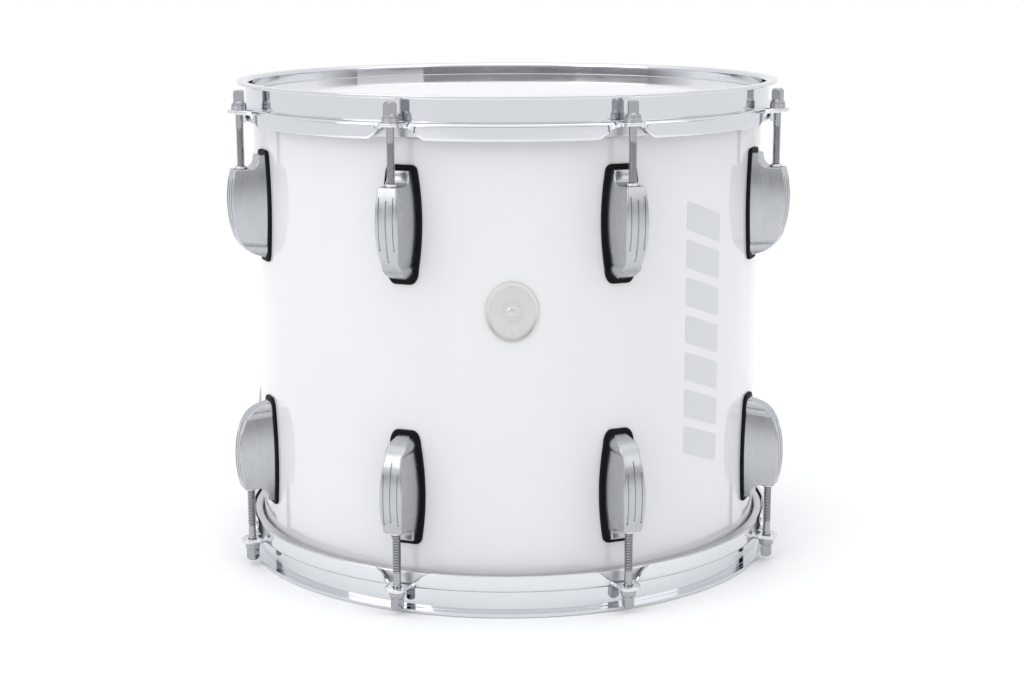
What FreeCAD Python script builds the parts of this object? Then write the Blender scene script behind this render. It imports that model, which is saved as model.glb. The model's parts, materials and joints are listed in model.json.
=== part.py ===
"""A two-headed drum: wrapped ply shell, two flanged steel hoops, sixteen lugs and their tension rods.

Frame: +Z up along the drum's axis, origin at the middle of the lower rim plane, front towards -Y.
Both ends are alike. Whatever belongs to an end is designed once, in the rim frame: Z is the depth
from that end's own rim plane, and the first rod stands on +X. Copies of it are then placed at the
resonant end as they are, and at the batter end turned over.
"""
import FreeCAD, Part
import math
import os
import re
import Sketcher

Vector = FreeCAD.Vector
doc = FreeCAD.newDocument("drum")
sheet = doc.addObject("Spreadsheet::Sheet", "sizes")

# Driving dimensions, in millimetres, degrees or plain counts.
SIZES = (
    ("total_height", 330.5, "from rim plane to rim plane"),
    ("shell_diameter", 354.0, "over the covering"),
    ("ply_thickness", 5.6, "wall of the wooden shell"),
    ("wrap_thickness", 0.5, "gloss covering on the wood"),
    ("head_depth", 8.5, "from the rim plane to the playing surface"),
    ("film_thickness", 0.3, "drum head film"),
    ("edge_inset", 1.6, "from the outside of the covering to the peak of the bearing edge"),
    ("edge_land", 0.6, "width of the peak that the film rests on"),
    ("film_gap", 0.4, "between the covering and the film's collar"),
    ("film_ease", 0.2, "how far the film's bend stands off the bearing edge's outer bevel"),
    ("hem_gap", 0.2, "between the hem, the hoop and the flesh hoop"),
    ("hem_foot", 1.0, "from the hem's end to the floor of the flesh hoop's channel"),
    ("flesh_gap", 1.2, "between the covering and the flesh hoop"),
    ("flesh_play", 1.1, "between the flesh hoop and the hoop's skirt"),
    ("flesh_recess", 1.0, "from the skirt's edge back to the flesh hoop"),
    ("flesh_wall", 1.0, "wall of the flesh hoop's channel"),
    ("hoop_thickness", 2.3, "steel sheet of the hoops"),
    ("outer_bend", 1.05, "radius outside a bend of the sheet, as a share of its thickness"),
    ("inner_bend", 0.4, "radius inside a bend of the sheet, as a share of its thickness"),
    ("hoop_height", 27.4, "from the rim plane to the skirt's edge"),
    ("collar_gap", 2.7, "between the covering and the hoop's collar"),
    ("lip_reach", 5.4, "top flange, out from the collar"),
    ("skirt_reach", 5.2, "skirt, out from the collar"),
    ("ear_depth", 16.2, "from the rim plane to the seat of the rod washers"),
    ("ear_reach", 7.2, "ear, out from the rod's axis"),
    ("ear_width", 13.0, "straight front of an ear"),
    ("ear_root_width", 27.0, "ear where it leaves the skirt"),
    ("ear_corner", 4.0, "rounding of an ear's front corners"),
    ("ear_flare", 14.0, "hollow curve from an ear's side to the skirt"),
    ("notch_start", 2.0, "from the ear's straight front to where the skirt is cut away"),
    ("notch_spread", 11.5, "each side of an ear, where the skirt sweeps up to it"),
    ("notch_curve", 0.7, "radius of the sweep's two curves, as a share of its spread"),
    ("rod_count", 8, "tension rods on each end"),
    ("rod_clearance", 0.6, "between the hoop's lip and the rod washers"),
    ("ear_hole_play", 0.9, "hole through an ear, wider than the thread"),
    ("rod_length", 57.0, "tension rod, under its flange"),
    ("shank_relief", 0.5, "plain part of the rod, thinner than the thread"),
    ("rod_plain_length", 14.6, "plain part under the flange"),
    ("rod_thread", 5.5, "outside diameter of the thread"),
    ("rod_point", 0.9, "chamfer at the rod's tip"),
    ("head_across", 6.4, "square head, across its flats"),
    ("head_height", 8.7, "square head"),
    ("head_chamfer", 1.1, "turned chamfer on the head's corners"),
    ("flange_diameter", 9.8, "flange under the square head"),
    ("flange_thickness", 1.5, "flange under the square head"),
    ("washer_diameter", 10.4, "rod washers"),
    ("washer_thickness", 1.4, "one rod washer"),
    ("washer_hole_play", 0.5, "hole of a rod washer, wider than the thread"),
    ("lug_depth", 46.0, "from the rim plane to the lug casing"),
    ("lug_length", 69.5, "lug casing, along the drum"),
    ("lug_side_wall", 1.85, "wall beside the nut's chamber, at the casing's foot"),
    ("lug_bulge", 2.9, "swell of each side of the casing's foot"),
    ("lug_nose_length", 9.5, "rounded nose of the casing's foot"),
    ("lug_nose_curve", 0.8, "radius of the nose's sides, as a share of its length"),
    ("lug_nose_width", 7.2, "straight end of the nose"),
    ("lug_shoulder_width", 15.6, "casing's foot where the nose starts"),
    ("lug_draft", 6.5, "degrees that the casing's sides lean in"),
    ("lug_wall", 0.35, "wall in front of the nut's chamber, at the nut end"),
    ("lug_crown", 2.8, "swell of the casing's front"),
    ("lug_tail_length", 17.0, "far end of the casing, where the front curves down to the foot"),
    ("lug_tail_foot", 7.0, "straight part of the far end, out from the gasket"),
    ("lug_tail_slope", 2.5, "straight part of the far end, along the drum"),
    ("lug_lip", 4.4, "casing's foot at the nut end, off the covering"),
    ("lug_lip_round", 2.0, "rounding from the foot to the scoop"),
    ("scoop_stand", 6.2, "bottom of the scoop beside the nut, off the covering"),
    ("scoop_radius", 6.3, "scoop beside the nut"),
    ("lug_end_drop", 9.3, "from the casing's end to the face around the nut"),
    ("lug_round", 0.9, "rounding along the casing's creases"),
    ("flute_width", 1.2, "decorative flutes in the casing's front"),
    ("flute_depth", 0.7, "decorative flutes"),
    ("flute_pitch", 4.8, "between neighbouring flutes"),
    ("side_flute_start", 15.0, "from the casing's end to the outer flutes"),
    ("side_flute_end", 21.0, "from the far tips of the outer flutes to the casing's far end"),
    ("middle_flute_start", 17.0, "from the casing's end to the middle flute"),
    ("middle_flute_end", 13.5, "from the far tip of the middle flute to the casing's far end"),
    ("gasket_thickness", 2.0, "rubber gasket under a casing"),
    ("gasket_margin", 2.8, "gasket showing round the casing"),
    ("neck_play", 0.9, "radial play of the nut's neck in the casing"),
    ("nut_bore_length", 3.0, "casing metal that the nut bears on"),
    ("nut_ledge", 0.6, "ledge in the casing that the nut bears on"),
    ("nut_chamber_end", 23.5, "from the chamber's floor to the casing's far end"),
    ("window_margin", 7.0, "between the first screw's hole and the opening that the nut goes in by"),
    ("nut_play", 0.15, "radial play of the nut in its chamber"),
    ("nut_wall", 1.1, "wall of the nut's neck around the thread"),
    ("nut_stand", 1.9, "neck standing out of the casing"),
    ("nut_length", 17.0, "swivel nut"),
    ("nut_dome", 0.7, "chamfer on the neck's end"),
    ("thread_play", 0.05, "radial clearance of the rod in its nut"),
    ("spring_wire", 0.9, "wire of the nut's spring"),
    ("spring_gap", 0.1, "left free under the spring"),
    ("spring_turns", 6, "turns of the nut's spring"),
    ("screw_near", 20.0, "from the casing's end to the first mounting screw"),
    ("screw_far", 12.5, "from the second mounting screw to the casing's far end"),
    ("screw_diameter", 4.0, "mounting screws"),
    ("screw_depth", 6.0, "screw's hole in the casing"),
    ("screw_tip_gap", 0.5, "left free at the bottom of a screw's hole"),
    ("screw_hole_play", 0.3, "radial play of the screws in the shell"),
    ("screw_head", 8.0, "diameter of the screw's head"),
    ("screw_head_height", 2.6, "screw's head"),
    ("screw_head_rim", 1.6, "upright side of the screw's head"),
    ("screw_head_top", 5.4, "diameter of the flat on the screw's head"),
    ("screw_washer", 12.0, "diameter of the washer inside the shell"),
    ("screw_washer_play", 0.2, "radial play of a screw in its washer"),
    ("screw_washer_thickness", 1.2, "washer inside the shell"),
    ("badge_width", 34.0, "badge, across"),
    ("badge_height", 38.5, "badge, along the drum"),
    ("badge_fullness", 1.08, "radius of the oval's arcs over that of a pointed oval"),
    ("badge_drop", 134.0, "from the batter rim plane to the badge's middle"),
    ("badge_thickness", 0.65, "field of the badge"),
    ("badge_border", 0.35, "border standing above the field"),
    ("badge_border_width", 1.6, "border of the badge"),
    ("badge_pin", 1.6, "diameter of the badge's two pins"),
    ("badge_pin_head", 2.8, "heads of the pins"),
    ("badge_pin_dome", 0.5, "height and chamfer of a pin's head"),
    ("badge_pin_spacing", 30.0, "between the pins"),
    ("badge_pin_depth", 4.5, "pins' grip in the shell"),
    ("vent_bore", 8.0, "air vent"),
    ("vent_wall", 0.8, "wall of the vent's eyelet"),
    ("vent_flange", 15.0, "flange of the vent's eyelet"),
    ("vent_bevel", 0.6, "bevel round the flange"),
    ("vent_roll", 1.4, "edge turned over inside the shell"),
    ("stripe_width", 34.0, "striped decal, round the shell"),
    ("stripe_bar", 18.4, "one bar of the decal, along the drum"),
    ("stripe_pitch", 24.6, "from bar to bar"),
    ("stripe_slant", 12.0, "fall of a bar across its width"),
    ("stripe_bars", 7, "bars in the decal"),
    ("stripe_drop", 159.0, "from the batter rim plane to the decal's middle"),
    ("stripe_thickness", 0.12, "decal film"),
    ("stripe_angle", 45.0, "degrees from the front to the decal, towards +X"),
)
for row, (alias, value, meaning) in enumerate(SIZES, 1):
    sheet.set(f"A{row}", meaning)
    sheet.set(f"B{row}", str(value))
    sheet.setAlias(f"B{row}", alias)
doc.recompute()
ALIASES = {alias for alias, _, _ in SIZES}

# Places that several pieces share, as formulas of the driving dimensions.
SHELL = "(shell_diameter / 2)"
PLY = f"({SHELL} - wrap_thickness)"
SHELL_INSIDE = f"({PLY} - ply_thickness)"
EDGE_DEPTH = "(head_depth + film_thickness)"
COLLAR_IN = f"({SHELL} + collar_gap)"
COLLAR_OUT = f"({COLLAR_IN} + hoop_thickness)"
LIP_OUT = f"({COLLAR_OUT} + lip_reach)"
SKIRT_OUT = f"({COLLAR_OUT} + skirt_reach)"
SKIRT_IN = f"({SKIRT_OUT} - hoop_thickness)"
STEP_UNDER = "(ear_depth + hoop_thickness)"
FILM_IN = f"({SHELL} + film_gap)"
FILM_OUT = f"({FILM_IN} + film_thickness)"
FLESH_IN = f"({SHELL} + flesh_gap)"
FLESH_OUT = f"({SKIRT_IN} - flesh_play)"
FLESH_FLOOR = "(hoop_height - flesh_recess)"
ROD_AXIS = f"({LIP_OUT} + rod_clearance + washer_diameter / 2)"
WASHER_TOP = "(ear_depth - 2 * washer_thickness)"
FLANGE_TOP = f"({WASHER_TOP} - flange_thickness)"
ROD_TIP = f"({WASHER_TOP} + rod_length)"
LUG_SEAT = f"({SHELL} + gasket_thickness)"
LUG_END = "(lug_depth + lug_length)"
LUG_FACE = "(lug_depth + lug_end_drop)"
LUG_TAIL = f"({LUG_END} - lug_tail_length)"
NUT_NECK = "(rod_thread / 2 + nut_wall)"
NUT_BORE = f"({NUT_NECK} + neck_play)"
NUT_CHAMBER = f"({NUT_BORE} + nut_ledge)"
LUG_FRONT = f"({ROD_AXIS} + {NUT_CHAMBER} + lug_wall)"
LUG_CURVE = f"((({LUG_TAIL} - {LUG_FACE})^2 / 4 + lug_crown^2) / (2 * lug_crown))"
NUT_SEAT = f"({LUG_FACE} + nut_bore_length)"
NUT_TOP = f"({LUG_FACE} - nut_stand)"
NUT_END = f"({NUT_TOP} + nut_length)"
SPRING_FLOOR = f"({LUG_END} - nut_chamber_end)"
SCREWS = ("(lug_depth + screw_near)", f"({LUG_END} - screw_far)")

BADGE_MIDDLE = "(total_height - badge_drop)"
BADGE_PINS = tuple(f"({BADGE_MIDDLE} {sign} badge_pin_spacing / 2)" for sign in "+-")

# How far a cut runs past the material, and how far one keeps off an edge it must not end on.
OVERRUN = 5
HAIR = 0.1
# Two places closer than this are taken to be the same one.
NEAR = 0.01


def in_sheet(text):
    """The formula with every driving dimension named as a cell of the sheet."""
    return re.sub(r"[a-z_]+", lambda word: f"sizes.{word[0]}" if word[0] in ALIASES else word[0], str(text))


def number(text):
    return float(sheet.evalExpression(in_sheet(text)))


def bind(thing, path, text):
    thing.setExpression(path, in_sheet(text))


def new_body(label):
    body = doc.addObject("PartDesign::Body", label)
    body.Label = label
    body.AllowCompound = True
    return body


def role(body, name):
    return next(item for item in body.Origin.OriginFeatures if item.Role == name)


def new_sketch(body, plane, across="0", along="0", out="0", turn="0"):
    """A sketch on one of the body's origin planes, shifted in its own axes and turned about its
    upright axis."""
    sketch = body.newObject("Sketcher::SketchObject", f"{body.Label}_sketch")
    sketch.AttachmentSupport = [(role(body, plane), "")]
    sketch.MapMode = "FlatFace"
    sketch.AttachmentOffset = FreeCAD.Placement(Vector(), FreeCAD.Rotation(Vector(0, 1, 0), number(turn)))
    bind(sketch, "AttachmentOffset.Base.x", across)
    bind(sketch, "AttachmentOffset.Base.y", along)
    bind(sketch, "AttachmentOffset.Base.z", out)
    return sketch


def arc_middle(start, end, radius, side):
    """The middle of the arc from start to end that swells to the left (side 1) or the right (side -1)."""
    chord = end - start
    rise = radius - math.sqrt(radius**2 - (chord.Length / 2) ** 2)
    normal = Vector(-chord.y, chord.x, 0).normalize()
    return (start + end) / 2 + normal * rise * side


def place_point(sketch, curve, end, across, along):
    """Hold a point of the sketch at two formulas, each measured from the sketch's origin."""
    for kind, text, axis in (("DistanceX", across, -2), ("DistanceY", along, -1)):
        value = number(text)
        if value == 0:
            sketch.addConstraint(Sketcher.Constraint("PointOnObject", curve, end, axis))
        elif value > 0:
            index = sketch.addConstraint(Sketcher.Constraint(kind, -1, 1, curve, end, value))
            bind(sketch, f"Constraints[{index}]", text)
        else:
            index = sketch.addConstraint(Sketcher.Constraint(kind, curve, end, -1, 1, -value))
            bind(sketch, f"Constraints[{index}]", f"-({text})")


def outline(sketch, corners, arcs=None):
    """A closed outline through corners, pairs of formulas. arcs maps the number of the corner that a
    curved stretch leaves to its radius and the side it swells to: 1 for left, -1 for right."""
    arcs = arcs or {}
    points = [Vector(number(across), number(along), 0) for across, along in corners]
    ends = []
    for index, point in enumerate(points):
        following = points[(index + 1) % len(points)]
        if index in arcs:
            radius, side = arcs[index]
            middle = arc_middle(point, following, number(radius), side)
            curve = sketch.addGeometry(Part.Arc(point, middle, following))
            forward = (sketch.getPoint(curve, 1) - point).Length < (sketch.getPoint(curve, 2) - point).Length
            ends.append((curve, 1, 2) if forward else (curve, 2, 1))
        else:
            ends.append((sketch.addGeometry(Part.LineSegment(point, following)), 1, 2))
    for index, (curve, first, last) in enumerate(ends):
        following, start, _ = ends[(index + 1) % len(ends)]
        sketch.addConstraint(Sketcher.Constraint("Coincident", curve, last, following, start))
        place_point(sketch, curve, first, *corners[index])
    for index, (radius, _) in arcs.items():
        held = sketch.addConstraint(Sketcher.Constraint("Radius", ends[index][0], number(radius)))
        bind(sketch, f"Constraints[{held}]", radius)


def circle(sketch, across, along, radius):
    middle = Vector(number(across), number(along), 0)
    curve = sketch.addGeometry(Part.Circle(middle, Vector(0, 0, 1), number(radius)))
    place_point(sketch, curve, 3, across, along)
    held = sketch.addConstraint(Sketcher.Constraint("Radius", curve, number(radius)))
    bind(sketch, f"Constraints[{held}]", radius)


def turned(body, kind, sketch, axis="V_Axis", angle="360"):
    """A revolution or groove of the sketch about one of its own axes, half of the angle to each side."""
    feature = body.newObject(f"PartDesign::{kind}", f"{body.Label}_turned")
    feature.Profile = sketch
    feature.ReferenceAxis = (sketch, [axis])
    feature.Midplane = True
    bind(feature, "Angle", angle)
    return feature


def raised(body, kind, sketch, length, both_ways=False, backwards=False):
    """A pad or pocket of the sketch."""
    feature = body.newObject(f"PartDesign::{kind}", f"{body.Label}_raised")
    feature.Profile = sketch
    feature.Midplane = both_ways
    feature.Reversed = backwards
    bind(feature, "Length", length)
    return feature


def round_edges(body, radius, wanted):
    """Fillet the edges of the body's tip that wanted() picks by their middle point and their shape."""
    doc.recompute()
    base = body.Tip
    names = []
    for index, edge in enumerate(base.Shape.Edges, 1):
        middle = edge.valueAt((edge.FirstParameter + edge.LastParameter) / 2)
        if wanted(middle, edge):
            names.append(f"Edge{index}")
    feature = body.newObject("PartDesign::Fillet", f"{body.Label}_rounding")
    feature.Base = (base, names)
    bind(feature, "Radius", radius)
    return feature


def around(body, originals=None):
    """Repeat the whole body, or only some of its features, once for each rod round the drum's axis."""
    doc.recompute()
    pattern = body.newObject("PartDesign::PolarPattern", f"{body.Label}_around")
    if originals:
        pattern.Originals = originals
    else:
        pattern.TransformMode = "Whole shape"
    pattern.Axis = (role(body, "Z_Axis"), [""])
    pattern.Angle = 360
    bind(pattern, "Occurrences", "rod_count")
    body.Tip = pattern
    return pattern


def ring_edge(radius, depth):
    """Picks the circle of that radius, at that depth, about the drum's axis."""
    across = number(radius)
    level = number(depth)
    return lambda middle, edge: (
        abs(math.hypot(middle.x, middle.y) - across) < NEAR and abs(middle.z - level) < NEAR
    )


# ---- The hoop and what it holds ----

def make_hoop():
    """One sheet of steel: lip, collar, step and skirt, with an ear at each rod."""
    body = new_body("hoop_master")
    profile = new_sketch(body, "XZ_Plane")
    outline(profile, (
        (COLLAR_IN, "0"), (LIP_OUT, "0"), (LIP_OUT, "hoop_thickness"), (COLLAR_OUT, "hoop_thickness"),
        (COLLAR_OUT, "ear_depth"), (SKIRT_OUT, "ear_depth"), (SKIRT_OUT, "hoop_height"),
        (SKIRT_IN, "hoop_height"), (SKIRT_IN, STEP_UNDER), (COLLAR_IN, STEP_UNDER),
    ))
    turned(body, "Revolution", profile)
    outside_bend = (
        ring_edge(COLLAR_IN, "0"), ring_edge(COLLAR_IN, STEP_UNDER), ring_edge(SKIRT_OUT, "ear_depth"),
    )
    round_edges(body, "outer_bend * hoop_thickness", lambda *edge: any(pick(*edge) for pick in outside_bend))
    inside_bend = (
        ring_edge(COLLAR_OUT, "hoop_thickness"), ring_edge(COLLAR_OUT, "ear_depth"),
        ring_edge(SKIRT_IN, STEP_UNDER),
    )
    rims = (
        ring_edge(LIP_OUT, "0"), ring_edge(LIP_OUT, "hoop_thickness"),
        ring_edge(SKIRT_OUT, "hoop_height"), ring_edge(SKIRT_IN, "hoop_height"),
    )
    soft = inside_bend + rims
    round_edges(body, "inner_bend * hoop_thickness", lambda *edge: any(pick(*edge) for pick in soft))
    notch = new_sketch(body, "YZ_Plane", out=COLLAR_OUT)
    half = "(ear_width / 2 + notch_start)"
    wide = f"({half} + notch_spread)"
    middle = f"({half} + notch_spread / 2)"
    halfway = f"(({STEP_UNDER} + hoop_height) / 2)"
    below = f"hoop_height + {OVERRUN}"
    sweep = "(notch_curve * notch_spread)"
    outline(notch, (
        (half, STEP_UNDER), (middle, halfway), (wide, "hoop_height"), (wide, below),
        (f"-{wide}", below), (f"-{wide}", "hoop_height"), (f"-{middle}", halfway), (f"-{half}", STEP_UNDER),
    ), {0: (sweep, 1), 1: (sweep, -1), 5: (sweep, -1), 6: (sweep, 1)})
    cut = raised(body, "Pocket", notch, f"skirt_reach + {OVERRUN}", backwards=True)
    ear = new_sketch(body, "XY_Plane", out="ear_depth")
    tip = f"({ROD_AXIS} + ear_reach)"
    back = f"({tip} - 0.75 * ear_corner)"
    front = "(ear_width / 2 - ear_corner / 2)"
    side = "(ear_width / 2 + ear_corner / 4)"
    root = "(ear_root_width / 2)"
    outline(ear, (
        (COLLAR_OUT, f"-{root}"), (SKIRT_OUT, f"-{root}"), (back, f"-{side}"), (tip, f"-{front}"),
        (tip, front), (back, side), (SKIRT_OUT, root), (COLLAR_OUT, root),
    ), {1: ("ear_flare", 1), 2: ("ear_corner", -1), 4: ("ear_corner", -1), 5: ("ear_flare", 1)})
    circle(ear, ROD_AXIS, "0", "(rod_thread + ear_hole_play) / 2")
    plate = raised(body, "Pad", ear, "hoop_thickness")
    around(body, [cut, plate])
    return body


def make_head_film():
    """Playing surface, collar down the outside of the shell, and a hem inside the flesh hoop."""
    body = new_body("head_film_master")
    profile = new_sketch(body, "XZ_Plane")
    bend = "(edge_inset + film_gap - film_ease)"
    over = f"({bend} + (2 - sqrt(2)) * film_thickness)"
    hem_top = f"({STEP_UNDER} + hem_gap)"
    hem = f"(({FLESH_IN} + {FLESH_OUT} + film_thickness) / 2)"
    low = f"({FLESH_FLOOR} - flesh_wall - hem_foot)"
    outline(profile, (
        ("0", "head_depth"), (f"{FILM_OUT} - {over}", "head_depth"),
        (FILM_OUT, f"head_depth + {over}"), (FILM_OUT, hem_top), (hem, hem_top), (hem, low),
        (f"{hem} - film_thickness", low), (f"{hem} - film_thickness", f"{hem_top} + film_thickness"),
        (FILM_IN, f"{hem_top} + film_thickness"), (FILM_IN, f"{EDGE_DEPTH} + {bend}"),
        (f"{FILM_IN} - {bend}", EDGE_DEPTH), ("0", EDGE_DEPTH),
    ))
    turned(body, "Revolution", profile)
    return body


def make_flesh_hoop():
    """Aluminium channel, open towards the rim, that grips the film's hem."""
    body = new_body("flesh_hoop_master")
    profile = new_sketch(body, "XZ_Plane")
    inside = f"({FLESH_IN} + flesh_wall)"
    outside = f"({FLESH_OUT} - flesh_wall)"
    floor = f"({FLESH_FLOOR} - flesh_wall)"
    hem = f"({STEP_UNDER} + 2 * hem_gap + film_thickness)"
    outline(profile, (
        (FLESH_IN, hem), (inside, hem), (inside, floor), (outside, floor), (outside, STEP_UNDER),
        (FLESH_OUT, STEP_UNDER), (FLESH_OUT, FLESH_FLOOR), (FLESH_IN, FLESH_FLOOR),
    ))
    turned(body, "Revolution", profile)
    return body


def make_rod_washers(label, top):
    """Flat washers between the ears and the rods' flanges."""
    body = new_body(label)
    profile = new_sketch(body, "XZ_Plane", across=ROD_AXIS)
    inner = "((rod_thread + washer_hole_play) / 2)"
    outer = "(washer_diameter / 2)"
    under = f"({top} + washer_thickness)"
    outline(profile, ((inner, top), (outer, top), (outer, under), (inner, under)))
    turned(body, "Revolution", profile)
    around(body)
    return body


def make_tension_rod():
    """Square head, flange, plain shank and threaded end, on one axis."""
    body = new_body("tension_rod_master")
    profile = new_sketch(body, "XZ_Plane", across=ROD_AXIS)
    flange = "flange_diameter / 2"
    thread = "rod_thread / 2"
    shank = f"({thread} - shank_relief / 2)"
    thread_top = f"{WASHER_TOP} + rod_plain_length"
    outline(profile, (
        ("0", FLANGE_TOP), (flange, FLANGE_TOP), (flange, WASHER_TOP), (shank, WASHER_TOP),
        (shank, thread_top),
        (thread, f"{thread_top} + shank_relief / 2"), (thread, f"{ROD_TIP} - rod_point"),
        (f"{thread} - rod_point", ROD_TIP), ("0", ROD_TIP),
    ))
    turned(body, "Revolution", profile)
    square = new_sketch(body, "XY_Plane", out=f"{FLANGE_TOP} - head_height")
    half = "head_across / 2"
    near = f"{ROD_AXIS} - {half}"
    far = f"{ROD_AXIS} + {half}"
    outline(square, ((near, f"-{half}"), (far, f"-{half}"), (far, half), (near, half)))
    raised(body, "Pad", square, "head_height + flange_thickness / 2")
    corner = new_sketch(body, "XZ_Plane", across=ROD_AXIS)
    crest = f"({FLANGE_TOP} - head_height)"
    outside = f"{half} + 2 * head_chamfer"
    outline(corner, (
        (f"{half} - {HAIR}", f"{crest} - {HAIR}"), (outside, f"{crest} - {HAIR}"),
        (outside, f"{crest} + 2 * head_chamfer"),
    ))
    turned(body, "Groove", corner)
    return body


# ---- The lug: casing, gasket, swivel nut, spring and mounting screws ----

def lug_foot(margin):
    """Outline of the casing's foot, across and along, grown by the margin on every side."""
    start = f"(lug_depth - {margin})"
    end = f"({LUG_END} + {margin})"
    shoulder = f"({end} - lug_nose_length)"
    near = f"({NUT_CHAMBER} + lug_side_wall + {margin})"
    wide = f"(lug_shoulder_width / 2 + {margin})"
    nose = f"(lug_nose_width / 2 + {margin} / 2)"
    side = f"(({shoulder} - {start})^2 / 4 + lug_bulge^2) / (2 * lug_bulge)"
    corners = (
        (f"-{near}", start), (near, start), (wide, shoulder), (nose, end), (f"-{nose}", end),
        (f"-{wide}", shoulder),
    )
    nose_curve = "(lug_nose_curve * lug_nose_length)"
    return corners, {1: (side, -1), 2: (nose_curve, -1), 4: (nose_curve, -1), 5: (side, -1)}


def frame_outside(sketch, across, low, high):
    """A rectangle well outside the sketch's other outline, so that the space between them is cut."""
    outline(sketch, ((f"-{across}", low), (across, low), (across, high), (f"-{across}", high)))


def make_lug_casing():
    """Die-cast casing like an upturned boat: scooped at the nut end, crowned and fluted in front."""
    body = new_body("lug_casing_master")
    base = f"({SHELL} + gasket_thickness / 2)"
    top = f"({LUG_FRONT} + lug_crown + {OVERRUN})"
    foot = new_sketch(body, "YZ_Plane", out=base)
    outline(foot, *lug_foot("0"))
    crest = new_sketch(body, "YZ_Plane", out=top)
    outline(crest, *lug_foot(f"(-({top} - {base}) * tan(lug_draft))"))
    block = body.newObject("PartDesign::AdditiveLoft", "lug_block")
    block.Profile = foot
    block.Sections = [crest]
    block.Ruled = True
    side = new_sketch(body, "XZ_Plane")
    scoop = f"({SHELL} + scoop_stand)"
    scoop_front = f"({scoop} + scoop_radius)"
    # The far end's curve goes on from the crown's without a crease, and ends on a straight slope.
    knee = f"({LUG_SEAT} + lug_tail_foot)"
    knee_depth = f"({LUG_END} - lug_tail_slope)"
    fall = f"({LUG_FRONT} - {knee})"
    run = f"({knee_depth} - {LUG_TAIL})"
    lean = f"({fall} * ({LUG_CURVE} - lug_crown) - {run} * ({LUG_TAIL} - {LUG_FACE}) / 2)"
    tail_curve = f"(({fall}^2 + {run}^2) * {LUG_CURVE} / (2 * {lean}))"
    outline(side, (
        (f"{SHELL} - {OVERRUN}", "lug_depth"), (f"{SHELL} + lug_lip", "lug_depth"),
        (scoop, "lug_depth + scoop_stand - lug_lip"), (scoop, f"{LUG_FACE} - scoop_radius"),
        (scoop_front, LUG_FACE), (LUG_FRONT, LUG_FACE), (LUG_FRONT, LUG_TAIL), (knee, knee_depth),
        (LUG_SEAT, LUG_END), (f"{SHELL} - {OVERRUN}", LUG_END),
    ), {1: ("lug_lip_round", -1), 3: ("scoop_radius", 1), 5: (LUG_CURVE, -1), 6: (tail_curve, -1)})
    near = f"({SHELL} - 2 * {OVERRUN})"
    far = f"({top} + {OVERRUN})"
    before = f"(lug_depth - {OVERRUN})"
    after = f"({LUG_END} + {OVERRUN})"
    outline(side, ((near, before), (far, before), (far, after), (near, after)))
    raised(body, "Pocket", side, "4 * lug_shoulder_width", both_ways=True)
    level = number(LUG_FACE)
    low = number(f"{SHELL} + lug_lip + gasket_thickness")
    beside = number("lug_nose_width / 4")
    front = number(scoop_front) + HAIR
    round_edges(body, "lug_round", lambda middle, edge: (
        middle.x > low and abs(middle.y) > beside or abs(middle.z - level) < HAIR and middle.x > front
    ))
    back = new_sketch(body, "XY_Plane")
    circle(back, "0", "0", LUG_SEAT)
    raised(body, "Pocket", back, "2 * total_height", both_ways=True)
    bore = new_sketch(body, "XZ_Plane", across=ROD_AXIS)
    outline(bore, (
        ("0", f"{LUG_FACE} - {OVERRUN}"), (NUT_BORE, f"{LUG_FACE} - {OVERRUN}"), (NUT_BORE, NUT_SEAT),
        (NUT_CHAMBER, NUT_SEAT), (NUT_CHAMBER, SPRING_FLOOR), ("0", SPRING_FLOOR),
    ))
    turned(body, "Groove", bore)
    window = new_sketch(body, "YZ_Plane", out=ROD_AXIS)
    half = NUT_CHAMBER
    sill = "(lug_depth + screw_near + screw_diameter / 2 + window_margin)"
    outline(window, ((f"-{half}", sill), (half, sill), (half, SPRING_FLOOR), (f"-{half}", SPRING_FLOOR)))
    raised(body, "Pocket", window, f"{ROD_AXIS} - {SHELL}")
    for place in SCREWS:
        hole = new_sketch(body, "XZ_Plane", along=place)
        tip = f"({LUG_SEAT} + screw_depth)"
        outline(hole, ((SHELL, "0"), (tip, "0"), (tip, "screw_diameter / 2"), (SHELL, "screw_diameter / 2")))
        turned(body, "Groove", hole, "H_Axis")
    cut_flutes(body, "side_flute_start", "side_flute_end", ("flute_pitch", "-flute_pitch"))
    cut_flutes(body, "middle_flute_start", "middle_flute_end", ("0",))
    return body


def cut_flutes(body, start, end, places):
    """Shallow grooves that follow the crown of the casing's front."""
    middle = f"(({LUG_TAIL} + {LUG_FACE}) / 2)"
    centre = f"({LUG_FRONT} + lug_crown - {LUG_CURVE})"
    first = f"(lug_depth + {start})"
    last = f"({LUG_END} - {end})"
    sweep = f"(({last} - {first}) / {LUG_CURVE} * 180 / pi)"
    lean = f"((({first} + {last}) / 2 - {middle}) / {LUG_CURVE} * 180 / pi)"
    for place in places:
        # This sketch lies flat across the casing, with its upright axis through the crown's centre.
        sketch = new_sketch(body, "XY_Plane", across=centre, out=middle)
        sketch.AttachmentOffset = FreeCAD.Placement(
            sketch.AttachmentOffset.Base, FreeCAD.Rotation(Vector(0, 1, 0), -number(lean))
        )
        floor = f"({LUG_CURVE} - flute_depth)"
        outside = f"({LUG_CURVE} + {OVERRUN})"
        low = f"({place} - flute_width / 2)"
        high = f"({place} + flute_width / 2)"
        outline(sketch, ((floor, low), (outside, low), (outside, high), (floor, high)))
        turned(body, "Groove", sketch, "V_Axis", sweep)


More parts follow.
